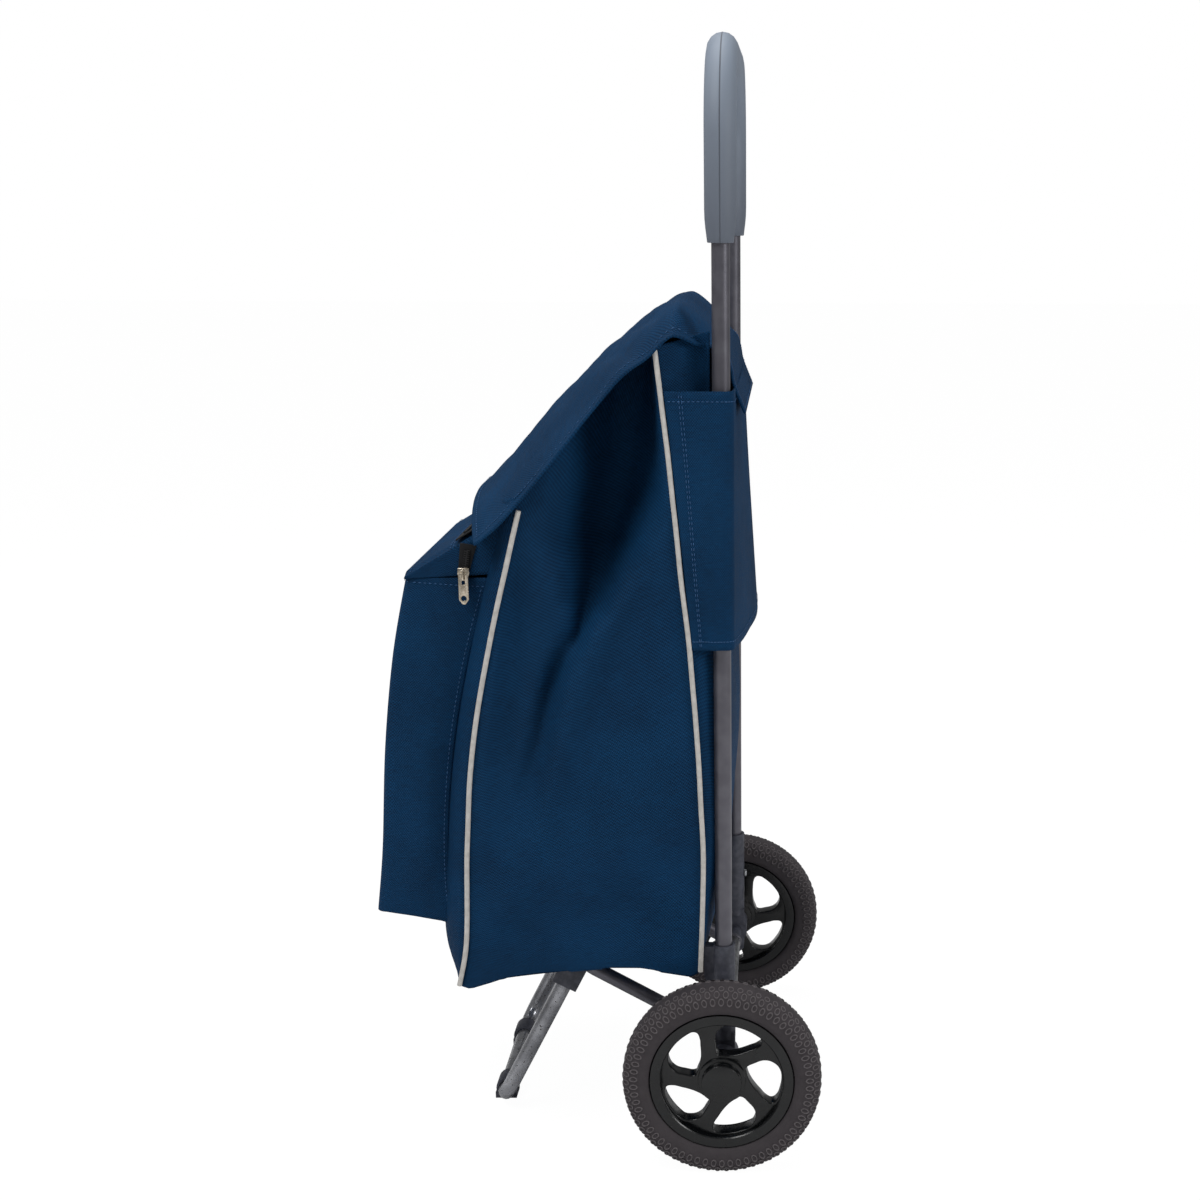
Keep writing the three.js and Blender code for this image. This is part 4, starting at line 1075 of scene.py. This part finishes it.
for index in range(int(LID_TEETH_RUN / TOOTH_PITCH)):
    x = LID_TEETH_START + TOOTH_PITCH * index
    for row in (-1, 1):
        stagger = row * TOOTH_PITCH / 4
        place = lid_frame @ Matrix.Translation((x + stagger, row * ROW_SHIFT, 0.0053))
        bmesh.ops.create_cube(teeth, size=1, matrix=place @ lid_tooth)
for index in range(int(END_TEETH_RUN / TOOTH_PITCH)):
    z = END_TEETH_START + TOOTH_PITCH * index
    for row in (-1, 1):
        stagger = row * TOOTH_PITCH / 4
        place = end_frame @ Matrix.Translation((0.1374, row * ROW_SHIFT, z + stagger))
        bmesh.ops.create_cube(teeth, size=1, matrix=place @ end_tooth)
teeth_mesh = smooth(mesh_of("zip_teeth", teeth), 40)
folds_with_stand(piece("zip_teeth", teeth_mesh, "frame", tooth_black, "zip_tape"))
for name, node in (("zip_slider_body", "zip_slider"), ("zip_pull_tab", "zip_pull")):
    folds_with_stand(piece(name, carried(node, 0.4), node, nickel, "zip_metal", node))

# ---------- flap ----------
# One piece of canvas that hangs over the bar between the tubes, runs up over the ridge and
# comes down over the bag's mouth. It is hemmed all round and creased from being rolled back.

COVER_PROFILE = [
    (19, 659), (14, 671), (9.2, 684), (6.8, 697), (1.5, 711), (-15, 731), (-36, 743), (-56, 733),
    (-78, 717), (-96, 704), (-114, 690), (-134, 670), (-155, 649), (-172, 631), (-190, 611),
    (-206, 595), (-222, 580),
]
RIDGE = COVER_PROFILE.index((-36, 743)) / (len(COVER_PROFILE) - 1)
CLOTH_LENGTH = 400
TAIL_HALF_WIDTH = 130
FLAP_HALF_WIDTH = 165
# How far, in millimetres, the flap hangs at its sides and front corners, swells in the
# middle, rolls at its rear corners and droops there.
SIDE_HANG = 24
CORNER_HANG = 26
CROWN = 9
ROLL = 22
DROOP = 15
# The creases, as (across, along the cloth, half width, height) stations in millimetres.
CREASES = [
    [(168, 168, 20, -5), (120, 188, 14, 6), (60, 224, 16, 4), (-40, 264, 20, 0)],
    [(168, 200, 16, 4), (110, 232, 16, 5), (30, 280, 20, 3), (-60, 320, 20, 0)],
    [(150, 144, 12, 5), (80, 168, 12, 5), (0, 200, 16, 3), (-90, 232, 20, 0)],
    [(160, 248, 16, -3), (100, 280, 16, 3), (40, 328, 16, 2), (-20, 368, 16, 0)],
    [(-168, 184, 20, -4), (-120, 208, 16, 5), (-60, 256, 20, 3), (20, 304, 20, 0)],
    [(-150, 152, 12, 4), (-90, 180, 12, 4), (-20, 208, 16, 0)],
]


def cover_surface(u, v):
    """The flap and its tail, from side to side and from the tail's end to the front hem."""
    across = 2 * u - 1
    place = along(COVER_PROFILE, v)
    past = eased(RIDGE - 0.09, RIDGE + 0.09, v)
    half = mix(TAIL_HALF_WIDTH, FLAP_HALF_WIDTH, eased(RIDGE - 0.12, RIDGE + 0.02, v))
    front = max(0, (v - RIDGE) / (1 - RIDGE))
    drop = (4 * SIDE_HANG * front * (1 - front) + CORNER_HANG * front) * across ** 2
    crown = CROWN * past * (1 - front) ** 2 * (1 - across ** 2)
    rolled = ROLL * past * math.exp(-((front / 0.16) ** 2)) * eased(0.72, 1, abs(across)) ** 2
    x = across * half
    crease = sum(fold_depth(x, v * CLOTH_LENGTH, line) for line in CREASES)
    rumple = 2.2 * noise.noise(Vector((x / 55 + place.x / 70, place.x / 28, 2)))
    rumple += 1.0 * noise.noise(Vector((x / 22 + place.x / 30, place.x / 14, 8)))
    hem = eased(0, 0.05, 1 - abs(across)) * eased(0, 0.04, 1 - v)
    lift = (crease * 0.8 + rumple) * past * (0.35 + 0.65 * hem)
    corner = DROOP * eased(0.55, 1, abs(across)) ** 2 * math.exp(-(((v - RIDGE + 0.05) / 0.06) ** 2))
    z = place.y - drop + crown - rolled - corner + lift
    return at(x, place.x - 6 * rolled / ROLL + 17 * across ** 2 * front ** 2, z)


cover = bmesh.new()
lay_cloth(cover, cover_surface, 110, 150, 0.33, 0.40)
flap = show("flap_canvas", cloth_mesh("flap_canvas", cover), canvas)
seams = bmesh.new()
for u in (0.028, 0.972):
    sew(seams, cover_surface, (u, 0.02), (u, 0.985))
for v in (0.975, 0.02):
    sew(seams, cover_surface, (0.03, v), (0.97, v))
flap_seams = show("flap_stitches", soft_mesh("flap_stitches", seams), thread)
for soft in (flap, flap_seams):
    at(0, -22, 742)
    at(0, -60, 738)
    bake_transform(soft)
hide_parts("flap", "flap_tail")
thicken(flap, 2.0, 0)

# ---------- floor, lights and camera ----------
# A plain pale floor that keeps the trolley's shadow, three large soft lamps, an even pale
# surround, and a camera on the trolley's right that looks a little down.

floor_white = bpy.data.materials.new("floor_white")
floor_white.use_nodes = True
nodes = floor_white.node_tree.nodes
nodes.remove(nodes["Principled BSDF"])
floor_nodes = Wire(floor_white.node_tree, None)
matt = floor_nodes.node("ShaderNodeBsdfDiffuse", {}, {"Color": (0.86, 0.86, 0.86, 1)})
glow = matt.node("ShaderNodeEmission", {}, {"Color": (1, 1, 1, 1), "Strength": 1.06})
seen = matt.node("ShaderNodeLightPath") * 0.92
shown_floor = seen.node("ShaderNodeMixShader", {}, {0: seen, 1: matt, 2: glow})
floor_white.node_tree.links.new(shown_floor.socket, nodes["Material Output"].inputs["Surface"])
ground_plane = bmesh.new()
bmesh.ops.create_grid(ground_plane, x_segments=1, y_segments=1, size=14)
floor = show("floor", mesh_of("floor", ground_plane), floor_white)
floor.location.z = -0.0004

world = bpy.data.worlds.new("surround")
bpy.context.scene.world = world
world.use_nodes = True
surround = world.node_tree.nodes["Background"]
sky = Wire(world.node_tree, world.node_tree.nodes.new("ShaderNodeLightPath").outputs["Is Camera Ray"])
world.node_tree.links.new((0.25 + 0.75 * sky).socket, surround.inputs["Strength"])
surround.inputs["Color"].default_value = (1, 1, 1, 1)


def lamp(name, place, aim, size, power):
    """A large soft lamp that shines from one place towards another."""
    light = bpy.data.lights.new(name, "AREA")
    light.size = size
    light.energy = power
    holder = placed(name, light)
    holder.location = place
    holder.rotation_euler = (Vector(aim) - Vector(place)).to_track_quat("-Z", "Y").to_euler()


lamp("key", (1.15, -1.1, 2.5), (0, 0, 0.45), 1.1, 30)
lamp("rear_strip", (1.1, 2.0, 1.3), (0, 0.1, 0.55), 0.8, 15)
lamp("top", (-0.6, -0.2, 2.8), (0, 0, 0.5), 1.5, 24)

CAMERA_PLACE = Vector((1.67582, 0.17118, 0.83118))
CAMERA_PITCH = 0.265880
CAMERA_YAW = -0.0111426
CAMERA_ROLL = 0.00295106
FOCAL_LENGTH = 55.556
SENSOR_WIDTH = 36
SHIFT = (-0.1439, 0.0858)


def swung(first, second, angle):
    """Two square axes after a turn in their own plane, the first towards the second."""
    cos, sin = math.cos(angle), math.sin(angle)
    return first * cos + second * sin, second * cos - first * sin


ahead, right, up = Vector((-1, 0, 0)), Vector((0, 1, 0)), Vector((0, 0, 1))
ahead, right = swung(ahead, right, CAMERA_YAW)
up, ahead = swung(up, ahead, CAMERA_PITCH)
right, up = swung(right, up, CAMERA_ROLL)
lens = bpy.data.cameras.new("camera")
lens.lens = FOCAL_LENGTH
lens.sensor_width = SENSOR_WIDTH
lens.shift_x, lens.shift_y = SHIFT
camera = placed("camera", lens)
facing = Matrix((right, up, -ahead)).transposed().to_4x4()
camera.matrix_world = Matrix.Translation(CAMERA_PLACE) @ facing
bpy.context.scene.camera = camera
bpy.context.scene.view_settings.view_transform = "Standard"
